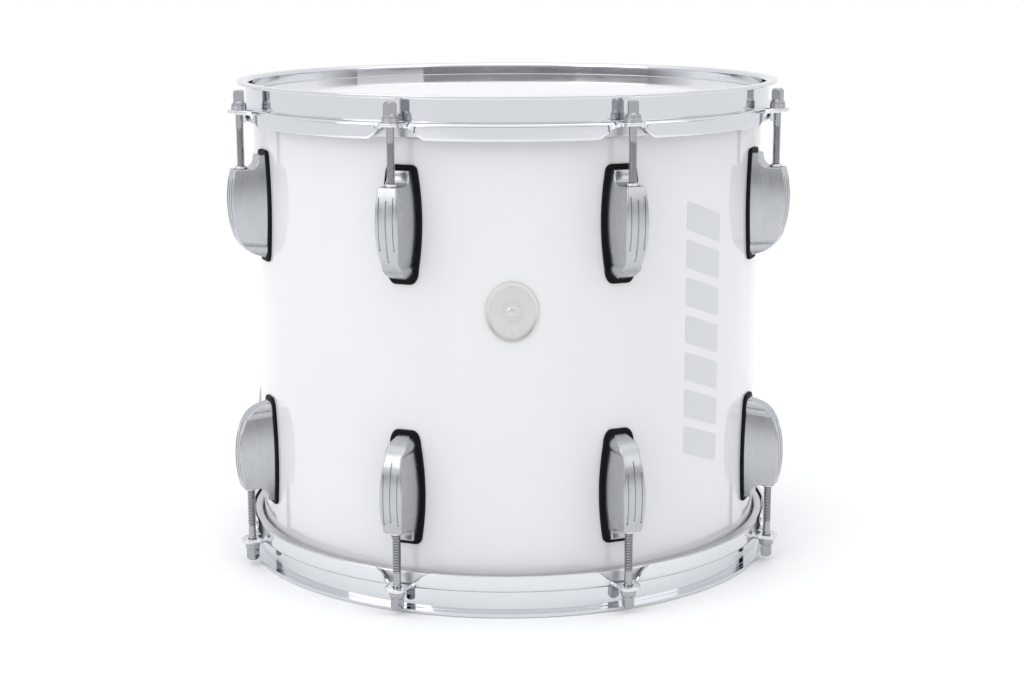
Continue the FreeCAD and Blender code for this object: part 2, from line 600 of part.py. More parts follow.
def make_gaskets():
    """Rubber gaskets, curved to the shell, showing all round the casings."""
    body = new_body("gasket_master")
    strip = new_sketch(body, "XZ_Plane")
    low = "(lug_depth - gasket_margin)"
    high = f"({LUG_END} + gasket_margin)"
    outline(strip, ((SHELL, low), (LUG_SEAT, low), (LUG_SEAT, high), (SHELL, high)))
    turned(body, "Revolution", strip, angle=f"4 * lug_shoulder_width / {SHELL} * 180 / pi")
    trim = new_sketch(body, "YZ_Plane", out=f"{SHELL} - {OVERRUN}")
    outline(trim, *lug_foot("gasket_margin"))
    frame_outside(trim, "(2.5 * lug_shoulder_width)", f"{low} - {OVERRUN}", f"{high} + {OVERRUN}")
    raised(body, "Pocket", trim, "4 * lug_lip", backwards=True)
    inner = f"({SHELL} - {OVERRUN})"
    outer = f"({LUG_SEAT} + {OVERRUN})"
    reach = "screw_diameter / 2 + screw_hole_play"
    for place in SCREWS:
        hole = new_sketch(body, "XZ_Plane", along=place)
        outline(hole, ((inner, "0"), (outer, "0"), (outer, reach), (inner, reach)))
        turned(body, "Groove", hole, "H_Axis")
    around(body)
    return body


def make_swivel_nuts():
    """Nuts with a shoulder that bears on the casing, and a neck that stands a little out of it."""
    body = new_body("swivel_nut_master")
    profile = new_sketch(body, "XZ_Plane", across=ROD_AXIS)
    bore = "(rod_thread / 2 + thread_play)"
    shoulder = f"({NUT_CHAMBER} - nut_play)"
    outline(profile, (
        (bore, NUT_TOP), (f"{NUT_NECK} - nut_dome", NUT_TOP), (NUT_NECK, f"{NUT_TOP} + nut_dome"),
        (NUT_NECK, NUT_SEAT), (shoulder, NUT_SEAT), (shoulder, NUT_END), (bore, NUT_END),
    ))
    turned(body, "Revolution", profile)
    around(body)
    return body


def make_nut_springs():
    """Coil springs that hold the nuts up against the casings."""
    body = new_body("nut_spring_master")
    wire = new_sketch(body, "XZ_Plane", across=ROD_AXIS)
    coil_radius = f"({NUT_CHAMBER} - nut_play - spring_wire / 2)"
    circle(wire, coil_radius, f"{NUT_END} + spring_wire / 2", "spring_wire / 2")
    coil = body.newObject("PartDesign::AdditiveHelix", "coil")
    coil.Profile = wire
    coil.ReferenceAxis = (wire, ["V_Axis"])
    coil.Mode = 1
    height = f"({SPRING_FLOOR} - {NUT_END} - spring_wire - spring_gap)"
    bind(coil, "Height", height)
    bind(coil, "Turns", "spring_turns")
    bind(coil, "Pitch", f"{height} / spring_turns")
    around(body)
    return body


def make_screws():
    """Machine screws from inside the shell into the casings, two for each."""
    body = new_body("lug_screw_master")
    under = f"({SHELL_INSIDE} - screw_washer_thickness)"
    top = f"({under} - screw_head_height)"
    tip = f"({LUG_SEAT} + screw_depth - screw_tip_gap)"
    for place in SCREWS:
        profile = new_sketch(body, "XZ_Plane", along=place)
        outline(profile, (
            (top, "0"), (tip, "0"), (tip, "screw_diameter / 2"), (under, "screw_diameter / 2"),
            (under, "screw_head / 2"), (f"{under} - screw_head_rim", "screw_head / 2"),
            (top, "screw_head_top / 2"),
        ))
        turned(body, "Revolution", profile, "H_Axis")
    around(body)
    return body


def make_screw_washers():
    """Flat washers between the screws' heads and the inside of the shell."""
    body = new_body("screw_washer_master")
    outer = f"(sqrt({SHELL_INSIDE}^2 - (screw_washer / 2)^2))"
    inner = "(screw_diameter / 2 + screw_washer_play)"
    rim = "(screw_washer / 2)"
    under = f"({SHELL_INSIDE} - screw_washer_thickness)"
    for place in SCREWS:
        profile = new_sketch(body, "XZ_Plane", along=place)
        outline(profile, ((under, inner), (outer, inner), (outer, rim), (under, rim)))
        turned(body, "Revolution", profile, "H_Axis")
    around(body)
    return body


# ---- The shell and what is fixed to it ----

def radial_holes(body, reach_in, reach_out):
    """Screw holes through the shell's wall, four in a line at each lug position."""
    cuts = []
    for depth in SCREWS:
        for level in (depth, f"(total_height - {depth})"):
            hole = new_sketch(body, "XZ_Plane", along=level, turn="180 / rod_count")
            bind(hole, "AttachmentOffset.Rotation.Angle", "180 / rod_count")
            reach = "screw_diameter / 2 + screw_hole_play"
            outline(hole, ((reach_in, "0"), (reach_out, "0"), (reach_out, reach), (reach_in, reach)))
            cuts.append(turned(body, "Groove", hole, "H_Axis"))
    return around(body, cuts)


def single_hole(body, level, turn, radius, reach_in, reach_out):
    hole = new_sketch(body, "XZ_Plane", along=level, turn=turn)
    outline(hole, ((reach_in, "0"), (reach_out, "0"), (reach_out, radius), (reach_in, radius)))
    turned(body, "Groove", hole, "H_Axis")


def make_shell_ply():
    """Wooden tube with a bearing edge at each end: a long bevel inside and a short one outside."""
    body = new_body("shell_ply")
    profile = new_sketch(body, "XZ_Plane")
    peak = f"({SHELL} - edge_inset)"
    land = f"({peak} - edge_land)"
    outer_drop = "(edge_inset - wrap_thickness)"
    inner_drop = f"({land} - {SHELL_INSIDE})"
    low = EDGE_DEPTH
    high = f"(total_height - {EDGE_DEPTH})"
    outline(profile, (
        (SHELL_INSIDE, f"{low} + {inner_drop}"), (land, low), (peak, low), (PLY, f"{low} + {outer_drop}"),
        (PLY, f"{high} - {outer_drop}"), (peak, high), (land, high), (SHELL_INSIDE, f"{high} - {inner_drop}"),
    ))
    turned(body, "Revolution", profile)
    within = f"{SHELL_INSIDE} - {OVERRUN}"
    beyond = f"{PLY} + {OVERRUN}"
    radial_holes(body, within, beyond)
    for level in BADGE_PINS:
        single_hole(body, level, "-90", "badge_pin / 2", f"{SHELL} - badge_pin_depth", beyond)
    single_hole(body, "total_height / 2", "90", "vent_bore / 2 + vent_wall", within, beyond)
    return body


def make_shell_wrap():
    """Gloss covering bonded to the outside of the wood."""
    body = new_body("shell_wrap")
    profile = new_sketch(body, "XZ_Plane")
    low = f"({EDGE_DEPTH} + edge_inset)"
    high = f"(total_height - {low})"
    outline(profile, ((PLY, low), (SHELL, low), (SHELL, high), (PLY, high)))
    turned(body, "Revolution", profile)
    within = f"{PLY} - {OVERRUN}"
    beyond = f"{SHELL} + {OVERRUN}"
    radial_holes(body, within, beyond)
    for level in BADGE_PINS:
        single_hole(body, level, "-90", "badge_pin / 2", within, beyond)
    single_hole(body, "total_height / 2", "90", "vent_bore / 2 + vent_wall", within, beyond)
    return body


def make_vent_grommet():
    """Pressed eyelet through the shell, at the back, half way up."""
    body = new_body("vent_grommet")
    profile = new_sketch(body, "XZ_Plane", along="total_height / 2", turn="90")
    bore = "vent_bore / 2"
    wall = f"({bore} + vent_wall)"
    flange = "vent_flange / 2"
    outside = f"({SHELL} + vent_wall)"
    rolled = f"({wall} + vent_roll)"
    seat = f"(sqrt({SHELL_INSIDE}^2 - {rolled}^2))"
    inside = f"({seat} - vent_wall)"
    outline(profile, (
        (inside, bore), (outside, bore), (outside, f"{flange} - vent_bevel"), (SHELL, flange), (SHELL, wall),
        (seat, wall), (seat, rolled), (inside, rolled),
    ))
    turned(body, "Revolution", profile, "H_Axis")
    return body


def make_badge_pins():
    """Two round-headed pins that hold the badge."""
    body = new_body("badge_pins")
    top = f"({SHELL} + badge_thickness)"
    crest = f"({top} + badge_pin_dome)"
    tip = f"({SHELL} - badge_pin_depth)"
    for level in BADGE_PINS:
        profile = new_sketch(body, "XZ_Plane", along=level, turn="-90")
        outline(profile, (
            (tip, "0"), (crest, "0"), (crest, "badge_pin_head / 2 - badge_pin_dome"),
            (top, "badge_pin_head / 2"), (top, "badge_pin / 2"), (tip, "badge_pin / 2"),
        ))
        turned(body, "Revolution", profile, "H_Axis")
    return body


def tube(name, inner, outer):
    """A plain tube about the drum's axis, over its whole height."""
    walls = []
    for part, radius in (("inside", inner), ("outside", outer)):
        wall = doc.addObject("Part::Cylinder", f"{name}_{part}")
        bind(wall, "Radius", radius)
        bind(wall, "Height", "total_height")
        walls.append(wall)
    cut = doc.addObject("Part::Cut", f"{name}_tube")
    cut.Base = walls[1]
    cut.Tool = walls[0]
    return cut


def shadow(name, draw):
    """What a sketch, facing +X at the drum's axis, casts outwards through the shell."""
    sketch = doc.addObject("Sketcher::SketchObject", f"{name}_sketch")
    sketch.Placement = FreeCAD.Placement(Vector(), FreeCAD.Rotation(Vector(1, 1, 1), 120))
    draw(sketch)
    cast = doc.addObject("Part::Extrusion", f"{name}_cast")
    cast.Base = sketch
    cast.DirMode = "Custom"
    cast.Dir = Vector(1, 0, 0)
    cast.Solid = True
    bind(cast, "LengthFwd", "shell_diameter")
    return cast


def both(kind, name, base, tool):
    joined = doc.addObject(f"Part::{kind}", name)
    joined.Base = base
    joined.Tool = tool
    return joined


def oval(sketch, inset):
    """Four arcs, tall and round-ended, about the badge's middle."""
    half = f"(badge_width / 2 - {inset})"
    tall = f"(badge_height / 2 - {inset})"
    curve = f"(badge_fullness * ({half}^2 + {tall}^2) / (2 * {tall}))"
    outline(sketch, (
        (half, BADGE_MIDDLE), ("0", f"{BADGE_MIDDLE} + {tall}"),
        (f"-{half}", BADGE_MIDDLE), ("0", f"{BADGE_MIDDLE} - {tall}"),
    ), {corner: (curve, -1) for corner in range(4)})


def make_badge():
    """Oval metal badge, curved to the shell, with a raised border and no marks."""
    def whole(sketch):
        oval(sketch, "0")

    def border_only(sketch):
        oval(sketch, "0")
        oval(sketch, "badge_border_width")

    def pin_holes(sketch):
        for level in BADGE_PINS:
            circle(sketch, "0", level, "badge_pin / 2")

    field_tube = tube("badge_field", SHELL, f"{SHELL} + badge_thickness")
    border_tube = tube("badge_border", SHELL, f"{SHELL} + badge_thickness + badge_border")
    field = both("Common", "badge_field", field_tube, shadow("badge_field", whole))
    border = both("Common", "badge_border", border_tube, shadow("badge_border", border_only))
    plate = both("Fuse", "badge_blank", field, border)
    return both("Cut", "badge_plate", plate, shadow("badge_pin_holes", pin_holes))


def make_stripe():
    """Decal of plain slanted bars, one above the other, with no lettering."""
    def bars(sketch):
        count = int(number("stripe_bars"))
        for bar in range(count):
            middle = f"(total_height - stripe_drop + ({bar} - (stripe_bars - 1) / 2) * stripe_pitch)"
            half = "(stripe_width / 2)"
            low = f"({middle} - stripe_bar / 2)"
            high = f"({middle} + stripe_bar / 2)"
            outline(sketch, (
                (f"-{half}", f"{low} + stripe_slant / 2"), (half, f"{low} - stripe_slant / 2"),
                (half, f"{high} - stripe_slant / 2"), (f"-{half}", f"{high} + stripe_slant / 2"),
            ))

    film = tube("stripe", SHELL, f"{SHELL} + stripe_thickness")
    return both("Common", "side_stripe", film, shadow("stripe", bars))


# ---- Placing the pieces ----

def place_copy(master, label, at_batter, angle):
    """A copy of a piece designed in the rim frame: turned about the drum's axis, and at the batter
    end upside down."""
    body = new_body(label)
    link = doc.addObject("PartDesign::FeatureBase", f"{label}_shape")
    link.BaseFeature = master
    body.Group = [link]
    body.Tip = link
    turn = FreeCAD.Rotation(Vector(0, 0, 1), angle)
    if at_batter:
        turn = turn * FreeCAD.Rotation(Vector(1, 0, 0), 180)
    body.Placement = FreeCAD.Placement(Vector(), turn)
    if at_batter:
        bind(body, "Placement.Base.z", "total_height")
    return body


def place_on_shell(piece, label, angle):
    piece.Label = label
    piece.Placement = FreeCAD.Placement(Vector(), FreeCAD.Rotation(Vector(0, 0, 1), angle))
    return piece


def check(pieces):
    """Stop before anything is written if a feature failed or a piece is not a good solid."""
    for item in doc.Objects:
        if "Invalid" in item.State or "Error" in item.State:
            raise RuntimeError(f"{item.Label} failed: {item.State}")
    for piece in pieces:
        shape = piece.Shape
        if shape.isNull() or not shape.isValid() or not shape.Solids:
            raise RuntimeError(f"{piece.Label} is not a valid solid")


def main():
    step = 360 / number("rod_count")
    pieces = [make_shell_ply(), make_shell_wrap(), make_vent_grommet(), make_badge_pins()]
    pieces.append(place_on_shell(make_badge(), "badge_plate", -90))
    pieces.append(place_on_shell(make_stripe(), "side_stripe", number("stripe_angle") - 90))
    whole_rings = {
        "hoop": make_hoop(),
        "head_film": make_head_film(),
        "flesh_hoop": make_flesh_hoop(),
        "rod_upper_washers": make_rod_washers("upper_washer_master", WASHER_TOP),
        "rod_lower_washers": make_rod_washers("lower_washer_master", f"({WASHER_TOP} + washer_thickness)"),
        "lug_gaskets": make_gaskets(),
        "swivel_nuts": make_swivel_nuts(),
        "nut_springs": make_nut_springs(),
        "lug_screws": make_screws(),
        "screw_washers": make_screw_washers(),
    }
    singles = {"tension_rod": make_tension_rod(), "lug_casing": make_lug_casing()}
    for end, at_batter in (("batter", True), ("resonant", False)):
        for name, master in whole_rings.items():
            pieces.append(place_copy(master, f"{end}_{name}", at_batter, step / 2))
        for name, master in singles.items():
            for place in range(int(number("rod_count"))):
                angle = (place + 0.5) * step
                pieces.append(place_copy(master, f"{end}_{name}_{place + 1}", at_batter, angle))
    doc.recompute()
    check(pieces)
    os.makedirs("parts", exist_ok=True)
    for piece in pieces:
        piece.Shape.exportStep(f"parts/{piece.Label}.step")
    print(len(pieces), "pieces written")


main()
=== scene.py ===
import json
import math

import bpy
from mathutils import Matrix, Vector


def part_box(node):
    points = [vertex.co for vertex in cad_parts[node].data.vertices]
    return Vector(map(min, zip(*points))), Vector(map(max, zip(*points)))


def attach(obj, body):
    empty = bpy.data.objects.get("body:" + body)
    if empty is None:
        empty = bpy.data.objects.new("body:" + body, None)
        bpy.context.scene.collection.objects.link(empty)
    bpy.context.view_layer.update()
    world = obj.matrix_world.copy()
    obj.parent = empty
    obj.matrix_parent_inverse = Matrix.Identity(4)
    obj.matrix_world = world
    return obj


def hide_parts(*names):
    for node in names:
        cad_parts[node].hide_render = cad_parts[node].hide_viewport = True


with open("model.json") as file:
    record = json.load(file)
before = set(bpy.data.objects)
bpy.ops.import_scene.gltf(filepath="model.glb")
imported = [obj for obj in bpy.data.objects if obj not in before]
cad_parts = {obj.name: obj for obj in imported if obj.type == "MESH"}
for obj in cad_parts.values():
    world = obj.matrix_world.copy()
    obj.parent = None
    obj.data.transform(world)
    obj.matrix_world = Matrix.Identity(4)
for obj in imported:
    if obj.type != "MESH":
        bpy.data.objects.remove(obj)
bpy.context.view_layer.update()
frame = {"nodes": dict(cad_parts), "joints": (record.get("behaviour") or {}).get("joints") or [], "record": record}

MM = 0.001
ENDS = ("batter", "resonant")
RODS = 8
STEP = 2 * math.pi / RODS
FRONT = -math.pi / 2
BACK = math.pi / 2

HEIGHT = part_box("batter_hoop")[1].z
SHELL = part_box("shell_wrap")[1].x
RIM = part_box("resonant_hoop")[1].x
BODY_OF = {node: body for body, nodes in frame["record"]["behaviour"]["bodies"].items() for node in nodes}
ROD_JOINTS = {joint["child"]: joint for joint in frame["joints"] if joint["type"] == "hinge"}
ROD_AXIS = Vector(ROD_JOINTS["resonant_rod_1"]["pos_m"]).xy.length

# Depths from a rim plane that several pieces share.
EAR_DEPTH = ROD_JOINTS["resonant_rod_1"]["pos_m"][2]
SHEET = 2.3 * MM
HOOP_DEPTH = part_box("resonant_hoop")[1].z
HEAD_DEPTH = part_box("resonant_head_film")[0].z
LUG_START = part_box("resonant_lug_gaskets")[0].z
LUG_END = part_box("resonant_lug_gaskets")[1].z


# ---- Modelling helpers ----

def only(piece):
    """Make the piece the one thing that is selected and active."""
    bpy.ops.object.select_all(action="DESELECT")
    piece.select_set(True)
    bpy.context.view_layer.objects.active = piece
    return piece


def edit(elements="VERT"):
    bpy.ops.object.mode_set(mode="EDIT")
    bpy.ops.mesh.select_mode(type=elements)


def leave():
    bpy.ops.object.mode_set(mode="OBJECT")


def pick(piece, wanted):
    """Select the faces that wanted() accepts by their middle and normal, and stay in edit mode."""
    edit("FACE")
    bpy.ops.mesh.select_all(action="DESELECT")
    leave()
    for face in piece.data.polygons:
        face.select = bool(wanted(face.center, face.normal, face.area))
    bpy.ops.object.mode_set(mode="EDIT")


def modify(piece, kind, **settings):
    """Add a modifier with these settings and apply it."""
    only(piece)
    modifier = piece.modifiers.new(kind.lower(), kind)
    for key, value in settings.items():
        setattr(modifier, key, value)
    bpy.ops.object.modifier_apply(modifier=modifier.name)
    return piece


def smooth(piece, degrees=32):
    """Smooth shading up to that angle, in which the large faces keep their own direction."""
    only(piece)
    bpy.ops.object.shade_smooth_by_angle(angle=math.radians(degrees))
    return modify(piece, "WEIGHTED_NORMAL", keep_sharp=True, weight=50)


def bent_corner(corner, before, after, radius, steps):
    """Points of the arc that replaces a corner between its two neighbours."""
    toward = (before - corner).normalized()
    onward = (after - corner).normalized()
    half = toward.angle(onward) / 2
    centre = corner + (toward + onward).normalized() * radius / math.sin(half)
    reach = radius / math.tan(half)
    start = (corner + toward * reach - centre).normalized()
    end = (corner + onward * reach - centre).normalized()
    return [centre + start.slerp(end, share / steps) * radius for share in range(steps + 1)]


def rounded(corners, steps=4, closed=True):
    """The outline through corners, each (across, along, radius), with its bends drawn as arcs."""
    places = [Vector(corner[:2]) for corner in corners]
    path = []
    for index, corner in enumerate(places):
        radius = corners[index][2] if len(corners[index]) > 2 else 0
        if radius and (closed or 0 < index < len(places) - 1):
            after = places[(index + 1) % len(places)]
            path += bent_corner(corner, places[index - 1], after, radius, steps)
        else:
            path.append(corner)
    return path


def trace(name, points, closed=True):
    """A wire through the points, drawn by extruding one corner from each point to the next."""
    bpy.ops.object.select_all(action="DESELECT")
    bpy.ops.mesh.primitive_plane_add(size=MM, location=points[0])
    piece = bpy.context.object
    piece.name = name
    piece.data.name = name
    bpy.ops.object.transform_apply(location=True, rotation=True, scale=True)
    edit()
    bpy.ops.mesh.select_all(action="SELECT")
    bpy.ops.mesh.merge(type="CENTER")
    here = Vector(points[0])
    for point in list(points[1:]) + ([points[0]] if closed else []):
        bpy.ops.mesh.extrude_region_move(TRANSFORM_OT_translate={"value": Vector(point) - here})
        here = Vector(point)
    bpy.ops.mesh.select_all(action="SELECT")
    bpy.ops.mesh.remove_doubles(threshold=0.001 * MM)
    return piece


def turned(name, outline, steps, centre=0.0, closed=True):
    """A solid turned about an upright axis at X = centre, from its outline of (radius, depth) points."""
    piece = trace(name, [(centre + radius, 0, depth) for radius, depth in outline], closed)
    bpy.ops.mesh.select_all(action="SELECT")
    bpy.ops.mesh.spin(steps=steps, angle=2 * math.pi, center=(centre, 0, 0), axis=(0, 0, 1))
    bpy.ops.mesh.select_all(action="SELECT")
    bpy.ops.mesh.remove_doubles(threshold=0.001 * MM)
    bpy.ops.mesh.normals_make_consistent(inside=False)
    leave()
    return smooth(piece)


def round_the_drum(piece, count=RODS):
    """Repeat the piece's mesh at equal steps about the drum's axis."""
    only(piece)
    edit()
    bpy.ops.mesh.select_all(action="SELECT")
    bpy.ops.mesh.spin(steps=count, dupli=True, angle=2 * math.pi, center=(0, 0, 0), axis=(0, 0, 1))
    bpy.ops.mesh.select_all(action="SELECT")
    bpy.ops.mesh.remove_doubles(threshold=0.001 * MM)
    leave()
    return piece


def join(name, pieces):
    bpy.ops.object.select_all(action="DESELECT")
    for piece in pieces:
        piece.select_set(True)
    bpy.context.view_layer.objects.active = pieces[0]
    if len(pieces) > 1:
        bpy.ops.object.join()
    pieces[0].name = name
    return pieces[0]


def move_mesh(piece, matrix):
    piece.data.transform(matrix)
    piece.data.update()
    return piece


def reshape(piece, formula):
    """Move every corner of the mesh to where the formula puts it."""
    for corner in piece.data.vertices:
        corner.co = formula(corner.co)
    piece.data.update()
    return piece


def plate(name, outline, thickness, soften=0.0, cuts=()):
    """A flat plate of that outline, (across, along) points, standing out from the shell along +X."""
    piece = trace(name, [(SHELL, across, along) for across, along in outline])
    bpy.ops.mesh.select_all(action="SELECT")
    bpy.ops.mesh.edge_face_add()
    bpy.ops.mesh.extrude_region_move(TRANSFORM_OT_translate={"value": (thickness, 0, 0)})
    if soften:
        bpy.ops.mesh.bevel(offset=soften, segments=3, affect="EDGES")
    bpy.ops.mesh.select_all(action="SELECT")
    for across in cuts:
        bpy.ops.mesh.bisect(plane_co=(SHELL, across, 0), plane_no=(0, 1, 0))
        bpy.ops.mesh.select_all(action="SELECT")
    bpy.ops.mesh.normals_make_consistent(inside=False)
    leave()
    return piece


def onto_shell(piece):
    """Push a flat plate inwards until it lies on the curve of the shell."""
    return reshape(piece, lambda place: Vector(
        (place.x - SHELL + math.sqrt(SHELL**2 - place.y**2), place.y, place.z)
    ))


def evenly(low, high, count):
    return [low + (high - low) * step / count for step in range(1, count)]


def ease(value, low, high):
    """Rises smoothly from 0 at low to 1 at high."""
    share = min(max((value - low) / (high - low), 0), 1)
    return share * share * (3 - 2 * share)


def to_end(end, angle=0.0):
    """From the rim frame to an end of the drum, turned about the drum's axis."""
    turn = Matrix.Rotation(angle, 4, "Z")
    if end == "batter":
        return Matrix.Translation((0, 0, HEIGHT)) @ turn @ Matrix.Rotation(math.pi, 4, "X")
    return turn


def rod_angle(place):
    return (place - 0.5) * STEP


def settle(piece, node, slot, *materials):
    """Give the piece its finishes, and let it stand for a CAD node and move with it."""
    piece.data.materials.clear()
    for material in materials:
        piece.data.materials.append(material)
    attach(piece, BODY_OF[node])
    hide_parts(node)
    return piece


def copy_to(master, name, matrix):
    piece = bpy.data.objects.new(name, master.data.copy())
    bpy.context.scene.collection.objects.link(piece)
    return move_mesh(piece, matrix)


def discard(master):
    bpy.data.objects.remove(master)


# ---- Shader groups: effects that several finishes share ----

def new_group(name, inputs, outputs):
    group = bpy.data.node_groups.new(name, "ShaderNodeTree")
    for label, default in inputs:
        socket = group.interface.new_socket(label, in_out="INPUT", socket_type="NodeSocketFloat")
        socket.default_value = default
    for label in outputs:
        group.interface.new_socket(label, in_out="OUTPUT", socket_type="NodeSocketFloat")
    enter = group.nodes.new("NodeGroupInput")
    leave_by = group.nodes.new("NodeGroupOutput")
    return group, enter, leave_by


def math_node(tree, operation, *values):
    node = tree.nodes.new("ShaderNodeMath")
    node.operation = operation
    for socket, value in zip(node.inputs, values):
        if hasattr(value, "is_output"):
            tree.links.new(value, socket)
        else:
            socket.default_value = value
    return node.outputs[0]


def stretched_place(tree, stretch):
    """Object coordinates, stretched by different amounts along X, Y and Z."""
    place = tree.nodes.new("ShaderNodeTexCoord")
    mapping = tree.nodes.new("ShaderNodeMapping")
    mapping.inputs["Scale"].default_value = stretch
    tree.links.new(place.outputs["Object"], mapping.inputs["Vector"])
    return mapping.outputs["Vector"]


def noise(tree, place, scale, detail=3.0, roughness=0.5):
    node = tree.nodes.new("ShaderNodeTexNoise")
    node.inputs["Detail"].default_value = detail
    node.inputs["Roughness"].default_value = roughness
    tree.links.new(place, node.inputs["Vector"])
    if hasattr(scale, "is_output"):
        tree.links.new(scale, node.inputs["Scale"])
    else:
        node.inputs["Scale"].default_value = scale
    return node.outputs["Fac"]


def spread(tree, value, low_in, high_in, low, high):
    """Map a value's useful range onto another one, with both ends cut off."""
    node = tree.nodes.new("ShaderNodeMapRange")
    node.inputs["From Min"].default_value = low_in
    node.inputs["From Max"].default_value = high_in
    for socket, end in (("To Min", low), ("To Max", high)):
        if hasattr(end, "is_output"):
            tree.links.new(end, node.inputs[socket])
        else:
            node.inputs[socket].default_value = end
    tree.links.new(value, node.inputs["Value"])
    return node.outputs["Result"]


def make_handling_group():
    """Faint smears and wiping marks that hands and cloths leave on a polished surface."""
    inputs = (("Cleanest", 0.04), ("Dullest", 0.1))
    group, enter, leave_by = new_group("handling_marks", inputs, ("Roughness",))
    smears = noise(group, stretched_place(group, (1, 1, 0.35)), 26.0, 4.0, 0.6)
    wiping = noise(group, stretched_place(group, (1, 1, 9)), 60.0, 2.0, 0.5)
    mixed = math_node(group, "MULTIPLY_ADD", wiping, 0.3, math_node(group, "MULTIPLY", smears, 0.7))
    result = spread(group, mixed, 0.36, 0.66, enter.outputs["Cleanest"], enter.outputs["Dullest"])
    group.links.new(result, leave_by.inputs["Roughness"])
    return group


def make_grain_group():
    """Fine even grain, as on cast, blasted or moulded surfaces, with a little larger unevenness."""
    inputs = (("Scale", 900.0), ("Unevenness", 0.3))
    group, enter, leave_by = new_group("surface_grain", inputs, ("Height", "Patches"))
    place = stretched_place(group, (1, 1, 1))
    fine = noise(group, place, enter.outputs["Scale"], 2.0, 0.6)
    broad_scale = math_node(group, "MULTIPLY", enter.outputs["Scale"], 0.06)
    broad = noise(group, place, broad_scale, 3.0, 0.5)
    height = math_node(group, "MULTIPLY_ADD", broad, enter.outputs["Unevenness"], fine)
    group.links.new(height, leave_by.inputs["Height"])
    group.links.new(spread(group, broad, 0.35, 0.65, 0.0, 1.0), leave_by.inputs["Patches"])
    return group


def make_brushing_group():
    """Fine scratches that run along the drum, as a belt or a brush leaves them."""
    group, enter, leave_by = new_group("brushed_lines", (("Scale", 700.0),), ("Height", "Streaks"))
    fine = noise(group, stretched_place(group, (1, 1, 0.03)), enter.outputs["Scale"], 3.0, 0.65)
    broad_scale = math_node(group, "MULTIPLY", enter.outputs["Scale"], 0.2)
    broad = noise(group, stretched_place(group, (1, 1, 0.08)), broad_scale, 2.0, 0.5)
    group.links.new(math_node(group, "MULTIPLY_ADD", broad, 0.4, fine), leave_by.inputs["Height"])
    group.links.new(spread(group, broad, 0.35, 0.65, 0.0, 1.0), leave_by.inputs["Streaks"])
    return group


HANDLING = make_handling_group()
GRAIN = make_grain_group()
BRUSHING = make_brushing_group()


# ---- Finishes ----

class Finish:
    """A material with one Principled shader, and short ways to feed it."""

    def __init__(self, name, color, metallic=0.0, roughness=0.4, **settings):
        self.material = bpy.data.materials.new(name)
        self.material.use_nodes = True
        self.tree = self.material.node_tree
        self.shader = self.tree.nodes["Principled BSDF"]
        self.set("Base Color", (*color, 1.0))
        self.set("Metallic", metallic)
        self.set("Roughness", roughness)
        for socket, value in settings.items():
            self.set(socket.replace("_", " "), value)

    def set(self, socket, value):
        self.shader.inputs[socket].default_value = value

    def group(self, group, **values):
        node = self.tree.nodes.new("ShaderNodeGroup")
        node.node_tree = group
        for socket, value in values.items():
            node.inputs[socket].default_value = value
        return node.outputs

    def feed(self, socket, value):
        self.tree.links.new(value, self.shader.inputs[socket])

    def range(self, value, low_in, high_in, low, high):
        return spread(self.tree, value, low_in, high_in, low, high)

    def blend(self, share, first, second):
        """Base Color that goes from the first colour to the second as share goes from 0 to 1."""
        node = self.tree.nodes.new("ShaderNodeMix")
        node.data_type = "RGBA"
        node.inputs["A"].default_value = (*first, 1.0)
        node.inputs["B"].default_value = (*second, 1.0)
        self.tree.links.new(share, node.inputs["Factor"])
        self.feed("Base Color", node.outputs["Result"])

    def bump(self, height, distance, strength=1.0):
        node = self.tree.nodes.new("ShaderNodeBump")
        node.inputs["Strength"].default_value = strength
        node.inputs["Distance"].default_value = distance
        self.tree.links.new(height, node.inputs["Height"])
        self.feed("Normal", node.outputs["Normal"])


def hoop_chrome():
    """Plated pressed steel: mirror bright, very slightly wavy, with faint wiping marks."""
    finish = Finish("hoop_chrome", (0.72, 0.74, 0.765), metallic=1.0)
    finish.feed("Roughness", finish.group(HANDLING, Cleanest=0.03, Dullest=0.09)["Roughness"])
    waves = noise(finish.tree, stretched_place(finish.tree, (1, 1, 0.6)), 20.0, 1.0)
    finish.bump(waves, 0.003 * MM)
    return finish.material


def lug_satin():
    """Satin plating on a die casting: brushed along, a shade darker in patches."""
    finish = Finish("lug_satin", (0.5, 0.51, 0.53), metallic=1.0)
    brushed = finish.group(BRUSHING, Scale=900.0)
    grain = finish.group(GRAIN, Scale=1500.0, Unevenness=0.8)
    finish.blend(grain["Patches"], (0.465, 0.48, 0.50), (0.49, 0.505, 0.525))
    finish.feed("Roughness", finish.range(brushed["Streaks"], 0.0, 1.0, 0.25, 0.29))
    height = math_node(finish.tree, "MULTIPLY_ADD", grain["Height"], 0.5, brushed["Height"])
    finish.bump(height, 0.003 * MM)
    return finish.material


def rod_bright():
    """Plated head and shank of a tension rod."""
    finish = Finish("rod_bright", (0.4, 0.41, 0.43), metallic=1.0)
    finish.feed("Roughness", finish.group(HANDLING, Cleanest=0.03, Dullest=0.09)["Roughness"])
    finish.bump(finish.group(BRUSHING, Scale=1600.0)["Height"], 0.004 * MM)
    return finish.material


def rod_thread():
    """Rolled thread: plain steel on its crests and duller in its grooves, with painted shade that darkens the
    grooves nearly to black.
    """
    finish = Finish("rod_thread", (0.2, 0.2, 0.205), metallic=1.0)
    groove = finish.tree.nodes.new("ShaderNodeAttribute")
    groove.attribute_name = "groove"
    # Painted shade: the colour goes from plain steel on the crests to nearly black at the groove's root.
    finish.blend(groove.outputs["Fac"], (0.4, 0.405, 0.415), (0.01, 0.01, 0.0105))
    finish.feed("Roughness", finish.range(groove.outputs["Fac"], 0.0, 1.0, 0.22, 0.5))
    finish.bump(finish.group(GRAIN, Scale=2500.0, Unevenness=0.5)["Height"], 0.004 * MM)
    return finish.material


